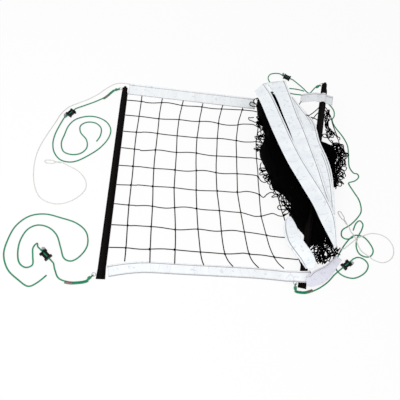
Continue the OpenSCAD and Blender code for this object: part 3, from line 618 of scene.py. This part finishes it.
def sleeveHalf(y, side):
    if y < sleeve["mouth"]:
        return sleeve["half"] + sleeve["flare"] * (1 - y / sleeve["mouth"]) ** 0.7
    if side > 0 and y > sleeve["length"] - sleeve["rightEnd"]:
        return sleeve["half"] - sleeve["rightNarrowing"]
    if side < 0 and y > sleeve["length"] - sleeve["leftEnd"]:
        past = y - sleeve["length"] + sleeve["leftEnd"]
        return sleeve["half"] - sleeve["leftNarrowing"] * past / sleeve["leftEnd"]
    return sleeve["half"]


def sleeveShapes(side):
    # an upper layer arched over the rod and a flat lower one
    top, bottom = [], []
    c, arch, bore = sleeve["centre"], sleeve["arch"], sleeve["bore"]
    stations = np.concatenate([[0, 3, 8, 16, 28, 40], np.arange(60, sleeve["length"] - sleeve["leftEnd"], 20),
                               sleeve["length"] - np.array([102, 80, 60, 43, 42, 25, 12, 4, 0])])
    angles = np.radians(np.arange(200, -21, -20))
    for y in stations:
        left, right = sleeveHalf(y, -1), sleeveHalf(y, 1)
        swell = 0.35 * wobble(y / 70, 3)
        outer = [(-left, 1.9), (-left + 1.2, 2.45), (-10.4, 2.5 + 0.25 * wobble(y / 40, 5)), (-8.2, 3.1)]
        outer += [((arch + swell * 0.5) * math.cos(a), c + (arch + swell * 0.5) * math.sin(a)) for a in angles]
        outer += [(8.2, 3.1), (10.4, 2.5 + 0.25 * wobble(y / 40, 6)), (right - 1.2, 2.45), (right, 1.9)]
        inner = [(right - 0.3, 1.25), (9.4, 1.25), (6.6, 1.9)]
        inner += [(bore * math.cos(a), c + bore * math.sin(a)) for a in angles[::-1][1:-1]]
        inner += [(-6.6, 1.9), (-9.4, 1.25), (-left + 0.3, 1.25)]
        lower = [(-left, 0.7), (-left + 0.6, 1.15), (-9.4, 1.2), (0, 1.15), (9.4, 1.2), (right - 0.6, 1.15),
                 (right, 0.7), (right - 0.4, 0.05), (0, 0.0), (-left + 0.4, 0.05)]
        top.append([fromSide(side, (x, y, z)) for x, z in outer + inner])
        bottom.append([fromSide(side, (x, y, z)) for x, z in lower])
    return [sweep(rows, np.linspace(0, girth, len(rows[0]) + 1), stations)
            for rows, girth in ((top, 90), (bottom, 70))]


for name, side in (("left", leftSide), ("right", rightSide)):
    addPiece(name + "_sleeve_webbing", sleeveShapes(side), (finishes["webbing"], "webbing"), name + "_sleeve")
print("stage: sleeves")

# Flat netting: columns run up the net and rows along it
net = dict(twine=4.8, pitch=100.0, firstColumn=-561.0, lowestRow=-395.0, rows=9, columns=6, knot=4.2,
           knotTwine=1.9, meet=6, step=6.0)


def topEdge(x):
    # where the top tape's lower edge crosses x
    slope = math.tan(math.radians(tapeTop["turn"]))
    return tapeTop["middle"] - tapeTop["width"] / 2 + (x - tapeTop["left"]) * slope


# The last stretch of each row of strings, where the pile pulls on it, from the lowest row up
rowEnds = [
    [(60, -395), (110, -396), (160, -402), (205, -405), (262, -408)],
    [(60, -294), (110, -299), (160, -306), (210, -308), (250, -304)],
    [(60, -206), (90, -213), (122, -209), (150, -199), (174, -193), (200, -203), (219, -202), (240, -190)],
    [(60, -86), (98, -91), (119, -100), (136, -112), (154, -95), (175, -82), (193, -89), (216, -104)],
    [(60, 8), (107, 6), (119, -2), (132, -23), (148, -30), (163, -21), (177, 0), (190, 12)],
    [(60, 104), (97, 106), (121, 104), (150, 98)],
    [(60, 200), (103, 204), (124, 208), (155, 205)],
    [(60, 314), (111, 318), (126, 313), (141, 304), (165, 300)],
    [(60, 410), (117, 410), (143, 406), (165, 402)],
]


def flatRow(r):
    y = net["lowestRow"] + r * net["pitch"]
    xs = np.arange(tapeTop["left"], 30, net["step"])
    slack = [1.0 if x > -440 else 0.35 for x in xs]   # strings are held tighter beside the sleeve
    line = [(x, y + s * (4.5 * math.sin(x / 27 + 1.7 * r) * (0.55 + 0.45 * math.sin(x / 130 + 2.1 * r))
                         + 3.0 * math.sin(x / 61 + 2.4 * r)), 0) for x, s in zip(xs, slack)]
    line = line[:-1] + smoothLine([line[-8], line[-1]] + [(*p, 0) for p in rowEnds[r]], 6)[6:].tolist()
    return np.array([(x, y, net["twine"] / 2) for x, y, z in line])


# How far a column of strings bows to the side down the net, and how the near tape pulls its end over
bowTable = np.array([(-460, 0.3), (-360, 0.1), (-250, -0.35), (-100, -1.0), (50, -1.0), (200, -0.7), (330, 0.1),
                     (460, 1.7)])
nearPull = [0, 0, 0, 12, 30, 36]


def flatColumn(c):
    x = net["firstColumn"] + c * net["pitch"]
    line = []
    for y in np.arange(-452.0, topEdge(x) + 1, net["step"]):
        bow = 3.6 * c * valueAt(bowTable, y)
        pull = nearPull[c - 1] * math.exp(-(y + 445) / 35)
        line.append((x + bow + pull + 1.5 * math.sin(y / 60 + 2.2 * c), y, net["twine"] / 2))
    line = np.array(line)
    line[1:-1, 0] = (line[:-2, 0] + line[1:-1, 0] + line[2:, 0]) / 3
    return line


# The seventh column runs along the foot of the pile before it lies flat, and the eighth comes out of the pile
seventhColumn = [
    (152, 500, 8), (137, 492, 6), (128, 472, 8), (141, 445, 8), (146, 404, 6), (148, 357, 5), (142, 309, 6),
    (132, 250, 5), (124, 205, 4), (121, 155, 3), (119, 100, 2), (120, 27, 2), (118, -20, 2), (118, -74, 2),
    (117, -153, 2), (119, -214, 2), (125, -253, 2), (135, -311, 2), (146, -365, 2), (168, -419, 2),
    (196, -450, 2),
]
eighthColumn = [
    (188, 20, 14), (180, -5, 4), (186, -57, 2), (204, -99, 2), (210, -136, 2), (217, -182, 2), (226, -225, 2),
    (236, -280, 2), (248, -346, 2), (263, -392, 2), (276, -438, 2),
]
flatRows = [flatRow(r) for r in range(net["rows"])]
flatColumns = [flatColumn(c) for c in range(1, net["columns"] + 1)]
flatColumns += [smoothLine(column, 5) for column in (seventhColumn, eighthColumn)]
flatShapes = [tube(line, net["twine"] / 2, 6) for line in flatRows + flatColumns]


def knotLump(x, y, z):
    # the sheet-bend knot of the mesh, a pair of crossed short turns
    reach = net["knot"]
    first = [(x - reach, y - 1.5, z), (x - 1, y + 1.6, z + 1.4),
             (x + 1.5, y + 1.2, z + 1.6), (x + reach, y - 1.2, z)]
    second = [(x - 1.4, y - reach, z), (x + 1.4, y - 1, z + 1.6),
              (x + 1.0, y + 1.6, z + 1.2), (x - 1.2, y + reach, z)]
    return [tube(smoothLine(line, 2), net["knotTwine"], 6) for line in (first, second)]


for column in flatColumns:
    for row in flatRows:
        gapTable = np.linalg.norm(column[:, None, :2] - row[None, :, :2], axis=2)
        i, k = np.unravel_index(gapTable.argmin(), gapTable.shape)
        if gapTable[i, k] < net["meet"]:
            flatShapes += knotLump(float(row[k][0]), float(row[k][1]), net["twine"] / 2 + 0.4)
addPiece("flat_netting", flatShapes, netTwine, "netting")
print("stage: flat netting")

# Tapes of the flat part
tape = dict(thickness=2.4, hem=3.6, footWidth=50.0, footHem=3.1)


def tapeSection(width, hem, thick, wrinkle, hemSide):
    # points of a sewn double tape: a round hem on one edge, a folded edge on the other; x across, z up
    w = width / 2
    section = [(-w, thick * 0.5), (-w + 0.7, thick * 0.92 + wrinkle[0]), (-w + 6, thick + wrinkle[1]),
               (-w * 0.5, thick + wrinkle[2]), (0, thick + wrinkle[3]), (w * 0.4, thick + wrinkle[4]),
               (w - 2 * hem - 3, thick + wrinkle[5]), (w - 2 * hem, thick + 0.1)]
    section += [(w - hem + hem * math.cos(a), hem + hem * math.sin(a))
                for a in np.radians([150, 115, 80, 45, 10, -30, -60])]
    section += [(w - hem, 0), (w - 2 * hem - 2, 0), (0, 0), (-w * 0.6, 0), (-w + 0.8, 0.05)]
    return [(x * hemSide, z) for x, z in section]


def addTape(name, shape, material):
    piece = addPiece(name + "_cloth", [shape], (material, "tape"), name)


def flatTape(line, width, hem, hemSide, seed):
    # line is the middle of the tape's underside
    ahead, level, up = frameAlong(line)
    along = distances(line)
    ringRows = []
    for i, p in enumerate(line):
        wrinkle = [0.5 * abs(wobble(along[i] / 45 + 3 * k, seed + k)) for k in range(6)]
        section = tapeSection(width, hem, tape["thickness"], wrinkle, hemSide)
        ringRows.append([p + level[i] * x + up[i] * z for x, z in section])
    return tapeSkin(ringRows, section, along)


topLine = np.array([(*placed((tapeTop["left"], tapeTop["middle"]), tapeTop["turn"], a), 0.0)
                    for a in np.linspace(0, tapeTop["length"], 90)])
headTape = coatedTape("coatedPolyesterTape", "#f8fafb", "#eff3f7", (-35, 28.5), 0.35)
addTape("top_tape", flatTape(topLine, tapeTop["width"], tape["hem"], 1, 11), headTape)

footRoute = [
    (-519, -497, 0), (-480, -488, 0), (-430, -479, 0), (-365, -473, 0), (-250, -474, 0), (-100, -475, 0),
    (50, -476, 0), (150, -480, 0), (200, -485, 4.6), (232, -489, 17.6), (252, -492, 24.6), (272, -493, 27.4),
    (292, -491, 27.4), (306, -487, 24.8),
]
footLine = evenly(laidLine(smoothLine(footRoute, 8), 0.0), 8)
footTape = coatedTape("coatedPolyesterFootTape", "#f6f8fa", "#eef2f6", (-23, 18.0), 0.35)
addTape("bottom_tape", flatTape(footLine, tape["footWidth"], tape["footHem"], -1, 23), footTape)
print("stage: flat tapes")

# Folded bands: skew turns the far end of the runs at the left
bands = dict(thick=1.0, pitch=1.4, steps=6, skew=0.6, hem=4.0, ridge=2.2, lowRidge=0.3, turnSteps=8,
             turnBulge=1.1)
# Middle lines from far end to near end, each with its share of the full width there: the band at the left, which
# lies on top, the one beside it, and the one at the right, which lies lowest
bandRoutes = [
    [(120, 433, 135, 1), (139, 384, 139, 1), (157, 317, 143, 1), (179, 226, 144, 1), (207, 121, 144, 1),
     (247, -3, 144, 1), (294, -113, 141, 1), (335, -198, 133, 1), (368, -272, 111, 0.9),
     (400, -373, 69, 0.12)],
    [(213, 487, 135, 1.35), (228, 432, 139, 1.15), (244, 351, 143, 1.02), (258, 267, 144, 1),
     (280, 169, 144, 1), (300, 56, 144, 1), (317, -37, 144, 1), (334, -140, 137, 1), (351, -208, 128, 1),
     (373, -252, 110, 1)],
    [(282, 376, 120, 1), (302, 338, 122, 1), (320, 301, 126, 1), (350, 240, 132, 1), (352, 188, 141, 1),
     (357, 112, 142, 1), (384, 20, 133, 1), (394, -58, 125, 1), (387, -173, 115, 1), (387, -231, 97, 1)],
]
# Where each run lies, from the lowest to the top one: 0 is on the left line, 1 on the middle one, 2 on the right
topShifts = [1.07, 1.06, 1.05, 1.03, 1.02, 1, 0.02, 0]
bottomShifts = [1.98, 1.9, 2, 1.88, 1.99, 1.9, 1.84, 1.99]
bandLines = [np.column_stack([smoothLine([p[:3] for p in band], bands["steps"]),
                              smoothNumbers([p[3] for p in band], bands["steps"])]) for band in bandRoutes]


def bandFrames(u):
    # the places of a run and its directions ahead, across and out of its face
    first = min(int(u), 1)
    line = bandLines[first] * (first + 1 - u) + bandLines[first + 1] * (u - first)
    places, share = line[:, :3], line[:, 3:]
    ahead, level, up = frameAlong(places)
    atFarEnd = np.clip(1 - np.arange(len(line)) / (1.5 * bands["steps"]), 0, 1)[:, None]
    return places, ahead, share * (level - bands["skew"] * max(0, 1 - u) * atFarEnd * ahead), up


def bandSection(width, thick, ridges, wrinkle):
    # flat double tape; the hem round its cord bulges on both faces near one edge, by the two heights in ridges
    w, t, hem = width / 2, thick / 2, bands["hem"]
    faces = []
    for way, ridge in zip((1, -1), ridges):
        faces.append([(-w + 0.6, way * t * 0.9)]
                     + [(x, way * t + rise) for x, rise in zip((-w + 5, -w * 0.55, -w * 0.15, w * 0.25), wrinkle)]
                     + [(w - 2 * hem, way * (t - 0.3)), (w - 1.6 * hem, way * (t + ridge * 0.75)),
                        (w - hem, way * (t + ridge)), (w - 0.4 * hem, way * (t + ridge * 0.7)),
                        (w - 0.6, way * t * 0.9)])
    top, bottom = faces
    return [(-w, 0), *top[:5], (w - 2 * hem - 3, t), *top[5:], (w, 0), *bottom[::-1]]


def foldedBand(shifts, width, shown, seed):
    # shown lists the runs whose upper face is in sight, where the hem stands out in full
    ringRows, lineRows = [], []
    last, low = len(bandLines[0]) - 1, bands["lowRidge"]

    def addRing(middle, across, face, ridges):
        count = len(lineRows)
        wrinkle = [0.5 * wobble(count / 4 + 9 * k, seed + k) for k in range(4)]
        section = bandSection(width, bands["thick"], ridges, wrinkle)
        # the section turns over on each odd run, but the hem keeps to the same side
        ringRows.append([middle + across * x + face * z for x, z in section])
        lineRows.append(middle)
        return section

    for k, u in enumerate(shifts):
        line, ahead, across, face = bandFrames(u)
        odd = k % 2
        way = -1 if odd else 1
        height = (1 + k) * bands["pitch"]
        full = bands["ridge"] if k in shown else low
        for i in range(last + 1)[::way]:
            drift = 1.6 * wobble(i / 9, seed + 20 + k)
            section = addRing(line[i] + face[i] * height + across[i] * drift, across[i], way * face[i],
                              (low, full) if odd else (full, low))
        if k < len(shifts) - 1:
            for step in range(1, bands["turnSteps"]):   # the turn up to the next run
                t = step / bands["turnSteps"]
                phi = math.pi * t
                line, ahead, across, face = bandFrames(u * (1 - t) + shifts[k + 1] * t)
                j = 0 if odd else last
                out = way * ahead[j]
                middle = (line[j] + face[j] * bands["pitch"] * (1 + k + 0.5 - math.cos(phi) / 2)
                          + out * bands["pitch"] * math.sin(phi) * bands["turnBulge"])
                addRing(middle, across[j], way * (math.cos(phi) * face[j] - math.sin(phi) * out), (low, low))
    return tapeSkin(ringRows, section, distances(np.array(lineRows)))


bandTape = coatedTape("coatedPolyesterTapeFolded", "#f4f8fa", "#e9eff5", (29.0,))
bandTapeLow = coatedTape("coatedPolyesterFootTapeFolded", "#f5f8fa", "#ebf0f5", (16.5,))
addTape("top_tape_folds", foldedBand(topShifts, tapeTop["width"], (5, 7), 31), bandTape)
addTape("bottom_tape_folds", foldedBand(bottomShifts, tape["footWidth"], (7,), 47), bandTapeLow)


leaning = dict(width=75, thick=1.6, ridge=1.2, wrinkle=0.8)


def leaningTape(name, lay, material):
    # a tape that leans over by a roll at each place and reaches to the left and right of its line
    line = smoothLine(lay["route"], lay["steps"])
    rolls, lefts, rights = (smoothNumbers(lay[side], lay["steps"]) for side in ("rolls", "left", "right"))
    ahead, level, up = frameAlong(line)
    c, s = np.cos(np.radians(rolls))[:, None], np.sin(np.radians(rolls))[:, None]
    across, face = c * level + s * up, c * up - s * level
    ringRows = []
    for i, p in enumerate(line):
        wrinkle = [leaning["wrinkle"] * wobble(i / 4 + 9 * k, lay["seed"] + k) for k in range(4)]
        section = bandSection(leaning["width"], leaning["thick"], (leaning["ridge"], leaning["ridge"]), wrinkle)
        ringRows.append([p + across[i] * (x * (lefts[i] if x > 0 else rights[i]) / (leaning["width"] / 2))
                         + face[i] * z for x, z in section])
    addTape(name, tapeSkin(ringRows, section, distances(line)), material)


# Where the top tape comes down from the pile, rounded at the near fold, and its end over the right sleeve
turn = dict(route=[(294, -462, 46), (293, -446, 50), (292, -425, 50), (285, -398, 49), (268, -358, 46),
                   (256, -330, 44), (253, -300, 40), (249, -264, 35), (243, -234, 32), (239, -218, 31)],
            rolls=[-30, -36, -38, -34, -24, -22, -22, -22, -22, -22],
            left=[20, 28, 35, 40, 46, 48, 49, 44, 30, 10], right=[18, 24, 24, 21, 18, 16, 13, 11, 7, 3],
            steps=6, seed=61, flatWidth=0.066, restsOn=["netting_pile", "right_sleeve"])
leaningTape("top_tape_turn", turn, bandTape)
tapeEnd = dict(route=[(272, -514, 39), (298, -512, 38), (324, -495, 36), (352, -477, 32), (384, -454, 28),
                      (412, -426, 24), (438, -397, 20)],
               rolls=[20, 18, 9, 3, 0, 0, 0],
               left=[20, 26, 30, 27, 22, 18, 16], right=[20, 22, 30, 28, 22, 17, 16],
               steps=10, seed=71, flatWidth=0.052, restsOn=["right_sleeve"])
# the tape's end has a darker, bluer copy of the top tape's colours
leaningTape("top_tape_end", tapeEnd, coatedTape("coatedPolyesterTapeEnd", "#e9e9f4", "#dddeec", (29.0,)))

# The bottom tape's end lies across the far end of the right sleeve; route is x and z in the sleeve's frame
strap = dict(route=[(-100, -36), (-70, -14), (-40, 2), (-15, 4), (-8, 12.4), (0, 14.6), (8, 12.4), (15, 4),
                    (48, 1)],
             top=(905, 912, 922, 930, 938, 948, 955), underside=(955, 930, 905), thick=1.6)
strapLine = smoothLine([(x, 0, z) for x, z in strap["route"]], 4)
strapRows = []
for x, y, z in strapLine:
    ring = [(x, y, z + strap["thick"] + 0.5 * wobble(x / 30 + y / 20, 5)) for y in strap["top"]]
    ring += [(x, y, z) for y in strap["underside"]]
    strapRows.append([fromSide(rightSide, p) for p in ring])
strapAcross = [-25, -18, -8, 0, 8, 18, 25, 25, 0, -25, -25]
# the strap is the bottom tape's cloth painted darker, as painted shade where it lies tilted and crumpled over the
# sleeve
strapTapeShaded = coatedTape("coatedPolyesterStrapShaded", "#e2e5e8", "#d2d6da", (16.5,), 0.6)
addTape("bottom_tape_end", sweep(strapRows, strapAcross, distances(strapLine)), strapTapeShaded)
print("stage: folded bands and tape ends")

# Gathered netting: two mounds, as rows of (y, left foot, right foot, height) from their far ends
heap = dict(sink=9.0, sideSink=12, rowRuns=44, sideRuns=18, rightLoops=22, seed=7, string=2.3, lowest=1.5,
            stride=5, spread=0.618, leastWidth=20)
pileRows = [
    (505, 150, 215, 60), (460, 145, 268, 98), (380, 138, 300, 114), (290, 134, 330, 122), (200, 130, 350, 124),
    (120, 134, 364, 124), (40, 158, 380, 124), (-50, 182, 388, 121), (-140, 212, 390, 113),
    (-220, 258, 392, 96), (-290, 292, 400, 76), (-350, 318, 404, 56), (-410, 340, 388, 24),
]
sideRows = [
    (300, 345, 400, 25), (262, 350, 520, 48), (200, 372, 578, 62), (140, 394, 566, 64), (80, 406, 548, 60),
    (20, 420, 515, 48), (-40, 430, 488, 32), (-88, 436, 462, 14),
]
pileTable, sideTable = np.array(pileRows[::-1], float), np.array(sideRows[::-1], float)
underSleeve = dict(half=19, past=5, below=3.0)   # the room that strings keep clear of the right sleeve


def rowAt(table, y):
    # a mound's left foot, right foot and height at y
    return [valueAt(table, y, k) for k in (1, 2, 3)]


def archHeight(t, height):
    # the mound's round-shouldered arch, t from -1 at its left foot to 1 at its right
    c = min(1.0, abs(t)) ** (1 / 0.7)
    return height * max(0.0, 1 - c * c) ** 0.3


def belowSleeve(p):
    # a string that would cut through the right sleeve goes under it
    d = np.array(p, float) - np.array(rightSide["foot"], float)
    (c, s), (tiltC, tiltS) = cosSin(rightSide["turn"]), cosSin(rightSide["tilt"])
    along = (d[0] * s + d[1] * c) * tiltC + d[2] * tiltS
    past = underSleeve["past"]
    if abs(d[0] * c - d[1] * s) < underSleeve["half"] and -past < along < sleeve["length"] + past:
        under = along * tiltS - underSleeve["below"]
        if p[2] > under:
            return (p[0], p[1], max(under, heap["lowest"]))
    return tuple(p)


def mass(table, insetLeft, insetRight, sink, seed):
    # the packed middle of a mound, a little inside its outline
    ringRows, ys = [], np.arange(table[0][0] + 14, table[-1][0] - 8, 9.0)
    for y in ys:
        left, right, height = rowAt(table, y)
        left, right = left + insetLeft(y), right - insetRight(y)
        if right - left < heap["leastWidth"]:
            middle = (left + right) / 2
            left, right = middle - heap["leastWidth"] / 2, middle + heap["leastWidth"] / 2
        ring = []
        for a in np.radians(np.linspace(0, 180, 44)):
            lump = (3.5 * noise.noise(Vector((a * 9, y / 16, seed)))
                    + 2.0 * noise.noise(Vector((a * 25, y / 6, seed + 4))))
            t = -math.copysign(abs(math.cos(a)) ** 0.8, math.cos(a))
            x = (left + right) / 2 + (right - left) / 2 * t
            z = max(0.4, (height - sink) * math.sin(a) ** 0.55 + lump * math.sin(a))
            ring.append(belowSleeve((x, y, z)))
        ringRows.append(ring)
    return sweep(ringRows, np.linspace(0, 300, 45), ys)


# How far inside the pile's foot its packed middle starts, along its left side: most where strings hang loose
insetTable = np.array([
    (-410, 30), (-224, -2), (-200, 2), (-170, 25), (-140, 50), (-105, 54), (-80, 20), (-60, 0), (0, 5),
    (60, 4), (116, 3), (151, 4), (178, 14), (202, 28), (230, 44), (262, 41), (292, 28), (322, 29), (350, 14),
    (400, 6), (440, 0), (470, 0), (505, 12),
], float)


def leftInset(y):
    return valueAt(insetTable, y) + 5 * wobble(y / 14, 2)


def rightInset(y):
    return 22 + 8 * wobble(y / 40, 8)


def sideLeftInset(y):
    return 8 + 4 * wobble(y / 30, 5)


def sideRightInset(y):
    return 44 + 14 * wobble(y / 26, 6) + 1.2 * max(0.0, y - 165)


addPiece("gathered_netting_middle", [mass(pileTable[1:], leftInset, rightInset, heap["sink"], 3)], netTwine,
         "netting_pile")
addPiece("gathered_netting_side_middle", [mass(sideTable, sideLeftInset, sideRightInset, heap["sideSink"], 9)],
         netTwine, "netting_pile_side")

rng = random.Random(heap["seed"])


def string(line, sides=5):
    return tube(line, heap["string"], sides)


def longString(table, t0, y0, y1, lift, seed):
    # one run of a row string along the heap, on its surface or just inside
    points = []
    for y in np.arange(y0, y1, 11.0):
        left, right, height = rowAt(table, y)
        t = t0 + 0.10 * wobble(y / 90, seed) + 0.05 * wobble(y / 28, seed + 3)
        x = (left + right) / 2 + (right - left) / 2 * t + 4 * wobble(y / 14, seed + 5)
        z = archHeight(max(-0.985, min(0.985, t)), height) + lift + 2.5 * wobble(y / 17, seed + 9)
        points.append(belowSleeve((x, y, max(heap["lowest"], z))))
    return string(smoothLine(points, 1))


def rightLoop(y, reach):
    # a column string that comes out of the pile, hangs over its right foot and goes back in
    left, right, height = rowAt(pileTable, y)
    half, middle = (right - left) / 2, (left + right) / 2
    edge = half + reach
    back = y + rng.uniform(-34, 34)
    turnY = (y + back) / 2 + rng.uniform(-14, 14)
    route = [(middle + half * t + rng.uniform(-6, 6), y + rng.uniform(-9, 9),
              archHeight(t, height) + rng.uniform(-3, 3)) for t in (0.25, 0.5, 0.72, 0.88)]
    route += [(middle + half * 0.97, y + rng.uniform(-5, 5), 0.42 * height * rng.uniform(0.7, 1.1)),
              (middle + edge * 0.995, (y + turnY) / 2, rng.uniform(8, 0.3 * height + 9)),
              (middle + edge, turnY, rng.uniform(2, 14)),
              (middle + edge - rng.uniform(4, 12), (back + turnY) / 2, rng.uniform(1.6, 9)),
              (middle + edge - rng.uniform(18, 30), back, rng.uniform(1.6, 22)),
              (middle + edge - rng.uniform(34, 60), back + rng.uniform(-12, 12), rng.uniform(6, 26))]
    return string([belowSleeve((p[0], p[1], max(heap["lowest"], p[2]))) for p in smoothLine(route, 4)])


def wander(guide, halfWidth, length, low, high, seed, curl):
    # a loose string that meanders in open curls along a guide line
    guide = evenly(np.array(guide, float), 4)
    along = distances(guide)
    ahead, side, up = frameAlong(guide)
    s, o = rng.uniform(0, along[-1]), rng.uniform(-0.7, 0.7) * halfWidth
    heading, tight = rng.uniform(-math.pi, math.pi), curl * rng.uniform(0.35, 0.8)
    points = []
    for n in range(int(length / heap["stride"])):
        p = [float(np.interp(s, along, guide[:, k])) for k in range(3)]
        q = [float(np.interp(s, along, side[:, k])) for k in range(2)]
        z = p[2] + low + (high - low) * (0.5 + 0.6 * wobble(n * 0.21, seed))
        points.append(belowSleeve((p[0] + q[0] * o, p[1] + q[1] * o, max(heap["string"], z))))
        pull = max(-1.3, min(1.3, o / halfWidth)) ** 3 * math.cos(heading)   # back towards the guide
        heading += tight * wobble(n * 0.27, seed + 50) - 0.45 * pull
        s += heap["stride"] * math.cos(heading)
        o += heap["stride"] * math.sin(heading)
        if not 0 < s < along[-1]:
            s = min(max(s, 0), along[-1])
            heading = math.pi - heading
    return string(smoothLine(points, 2))


def loose(count, guide, halfWidth, length, low, high, seed, curl=1.0):
    return [wander(guide, halfWidth, length * rng.uniform(0.6, 1.3), low, high, seed + k, curl)
            for k in range(count)]


shapes = []
for k in range(heap["rowRuns"]):
    t = -0.9 + 1.86 * ((k * heap["spread"]) % 1.0)
    y0 = rng.uniform(-330, -290) if abs(t) < 0.7 else rng.uniform(-300, -200)   # those at the edges start later
    y1 = rng.uniform(430, 490)
    shapes.append(longString(pileTable, t, y0, y1, rng.uniform(-5, 0), 40 + k))
addPiece("gathered_netting_rows", shapes, netTwine)

# Loose strings along the pile's left foot, in the two places where it opens, and at its far and near ends
leftFoot = [
    (150, 498, 6), (136, 488, 5), (131, 470, 6), (147, 445, 8), (152, 404, 8), (154, 357, 8), (150, 309, 8),
    (141, 250, 7), (132, 205, 6), (128, 155, 5), (128, 105, 5), (150, 40, 6), (168, -10, 6), (184, -60, 6),
]
opening = [(150, 248, 9), (147, 215, 9), (141, 180, 8), (137, 140, 8)]
lowGap = [(200, -68, 8), (222, -105, 10), (240, -150, 10), (252, -192, 10)]
farLeft = [(178, 492, 8), (167, 474, 8), (159, 452, 9), (160, 425, 9)]
nearRight = [(376, -300, 76), (390, -335, 62), (404, -366, 46), (414, -392, 32)]
nearEnd = [(330, -318, 62), (342, -352, 54), (348, -392, 48), (342, -432, 45)]
shapes = loose(10, leftFoot, 9, 260, -3, 8, 300)
shapes += loose(5, opening, 13, 240, -4, 20, 330)
shapes += loose(9, lowGap, 30, 230, -6, 26, 350)
shapes += loose(16, nearEnd, 40, 230, -12, 10, 380)
shapes += loose(6, farLeft, 10, 200, -3, 8, 450)
shapes += loose(14, nearRight, 17, 200, -10, 8, 470)
for route in ([(139, 78, 8), (134, 60, 3), (138, 35, 3), (152, 8, 4), (176, -14, 14)],
              [(176, -34, 14), (171, -50, 4), (176, -66, 3), (190, -72, 8)],
              [(240, -170, 20), (248, -200, 30), (262, -222, 44), (270, -240, 52)]):
    shapes.append(string(smoothLine(route, 5), 6))
for k in range(heap["rightLoops"]):
    y = 150 + 340 * (k + rng.uniform(-0.4, 0.4)) / heap["rightLoops"]
    shapes.append(rightLoop(y, rng.uniform(-10, 8)))
addPiece("gathered_netting_columns", shapes, netTwine)

# The lobe at the pile's right: strings over it, curls along its edge and beside the sleeve
shapes = []
for k in range(heap["sideRuns"]):
    t = -0.9 + 1.6 * ((k * heap["spread"]) % 1.0)
    y0, y1 = rng.uniform(-80, -30), rng.uniform(150, 222)
    shapes.append(longString(sideTable, t, y0, y1, rng.uniform(-4, 3), 140 + k))
sideEdge = [(505, 218, 14), (540, 212, 12), (556, 186, 12), (550, 140, 14), (534, 85, 14), (503, 28, 12),
            (474, -30, 8)]
besideSleeve = [(445, 318, 150), (458, 282, 122), (470, 246, 96), (474, 206, 80)]
shapes += loose(26, sideEdge, 26, 240, -8, 22, 420)
shapes += loose(5, besideSleeve, 18, 260, -10, 8, 500, 0.5)
addPiece("gathered_netting_side", shapes, netTwine)

# Strings that hang from the raised end of the right sleeve and those that run down to the tape's corner
hanging = [
    [(412, 330, 168), (406, 323, 165), (384, 300, 158), (352, 278, 146), (338, 290, 138), (322, 300, 128)],
    [(408, 300, 160), (390, 285, 152), (370, 262, 140), (350, 262, 132)],
    [(360, 275, 140), (384, 265, 142), (399, 243, 146), (388, 228, 140), (393, 214, 136), (408, 202, 130)],
    [(428, 330, 165), (445, 318, 158), (464, 284, 145), (481, 247, 122), (508, 212, 92), (537, 229, 62),
     (560, 250, 20)],
    [(430, 318, 160), (442, 307, 150), (450, 266, 138), (456, 221, 118), (487, 235, 96), (527, 215, 62),
     (545, 190, 30)],
    [(432, 290, 150), (455, 262, 120), (470, 240, 95), (492, 262, 70), (520, 250, 52)],
    [(434, 260, 142), (452, 230, 110), (462, 200, 86), (486, 180, 74), (512, 190, 66)],
    [(330, 372, 140), (324, 366, 132), (318, 352, 124)],
]
nearCorner = [
    [(330, -330, 66), (322, -370, 56), (318, -405, 50), (330, -440, 46)],
    [(345, -330, 60), (334, -375, 54), (335, -410, 48), (350, -432, 44)],
    [(356, -340, 62), (352, -380, 52), (360, -415, 46), (348, -440, 44)],
    [(372, -345, 58), (378, -378, 48), (392, -402, 42), (380, -424, 44)],
    [(384, -345, 56), (398, -372, 46), (412, -392, 40), (400, -412, 44)],
    [(394, -340, 54), (410, -362, 42), (424, -380, 34), (436, -392, 40)],
    [(362, -345, 56), (366, -388, 46), (346, -410, 42), (322, -424, 46), (308, -440, 48)],
    [(340, -345, 58), (348, -392, 50), (372, -404, 44), (396, -400, 40), (416, -398, 40)],
    [(402, -350, 40), (420, -360, 26), (440, -362, 16), (452, -356, 8)],
    [(350, -350, 60), (330, -390, 52), (312, -418, 50), (300, -438, 50)],
]
shapes = [string(smoothLine(route, 5), 6) for route in hanging + nearCorner]
addPiece("gathered_netting_strays", shapes, netTwine)
print("stage: gathered netting")
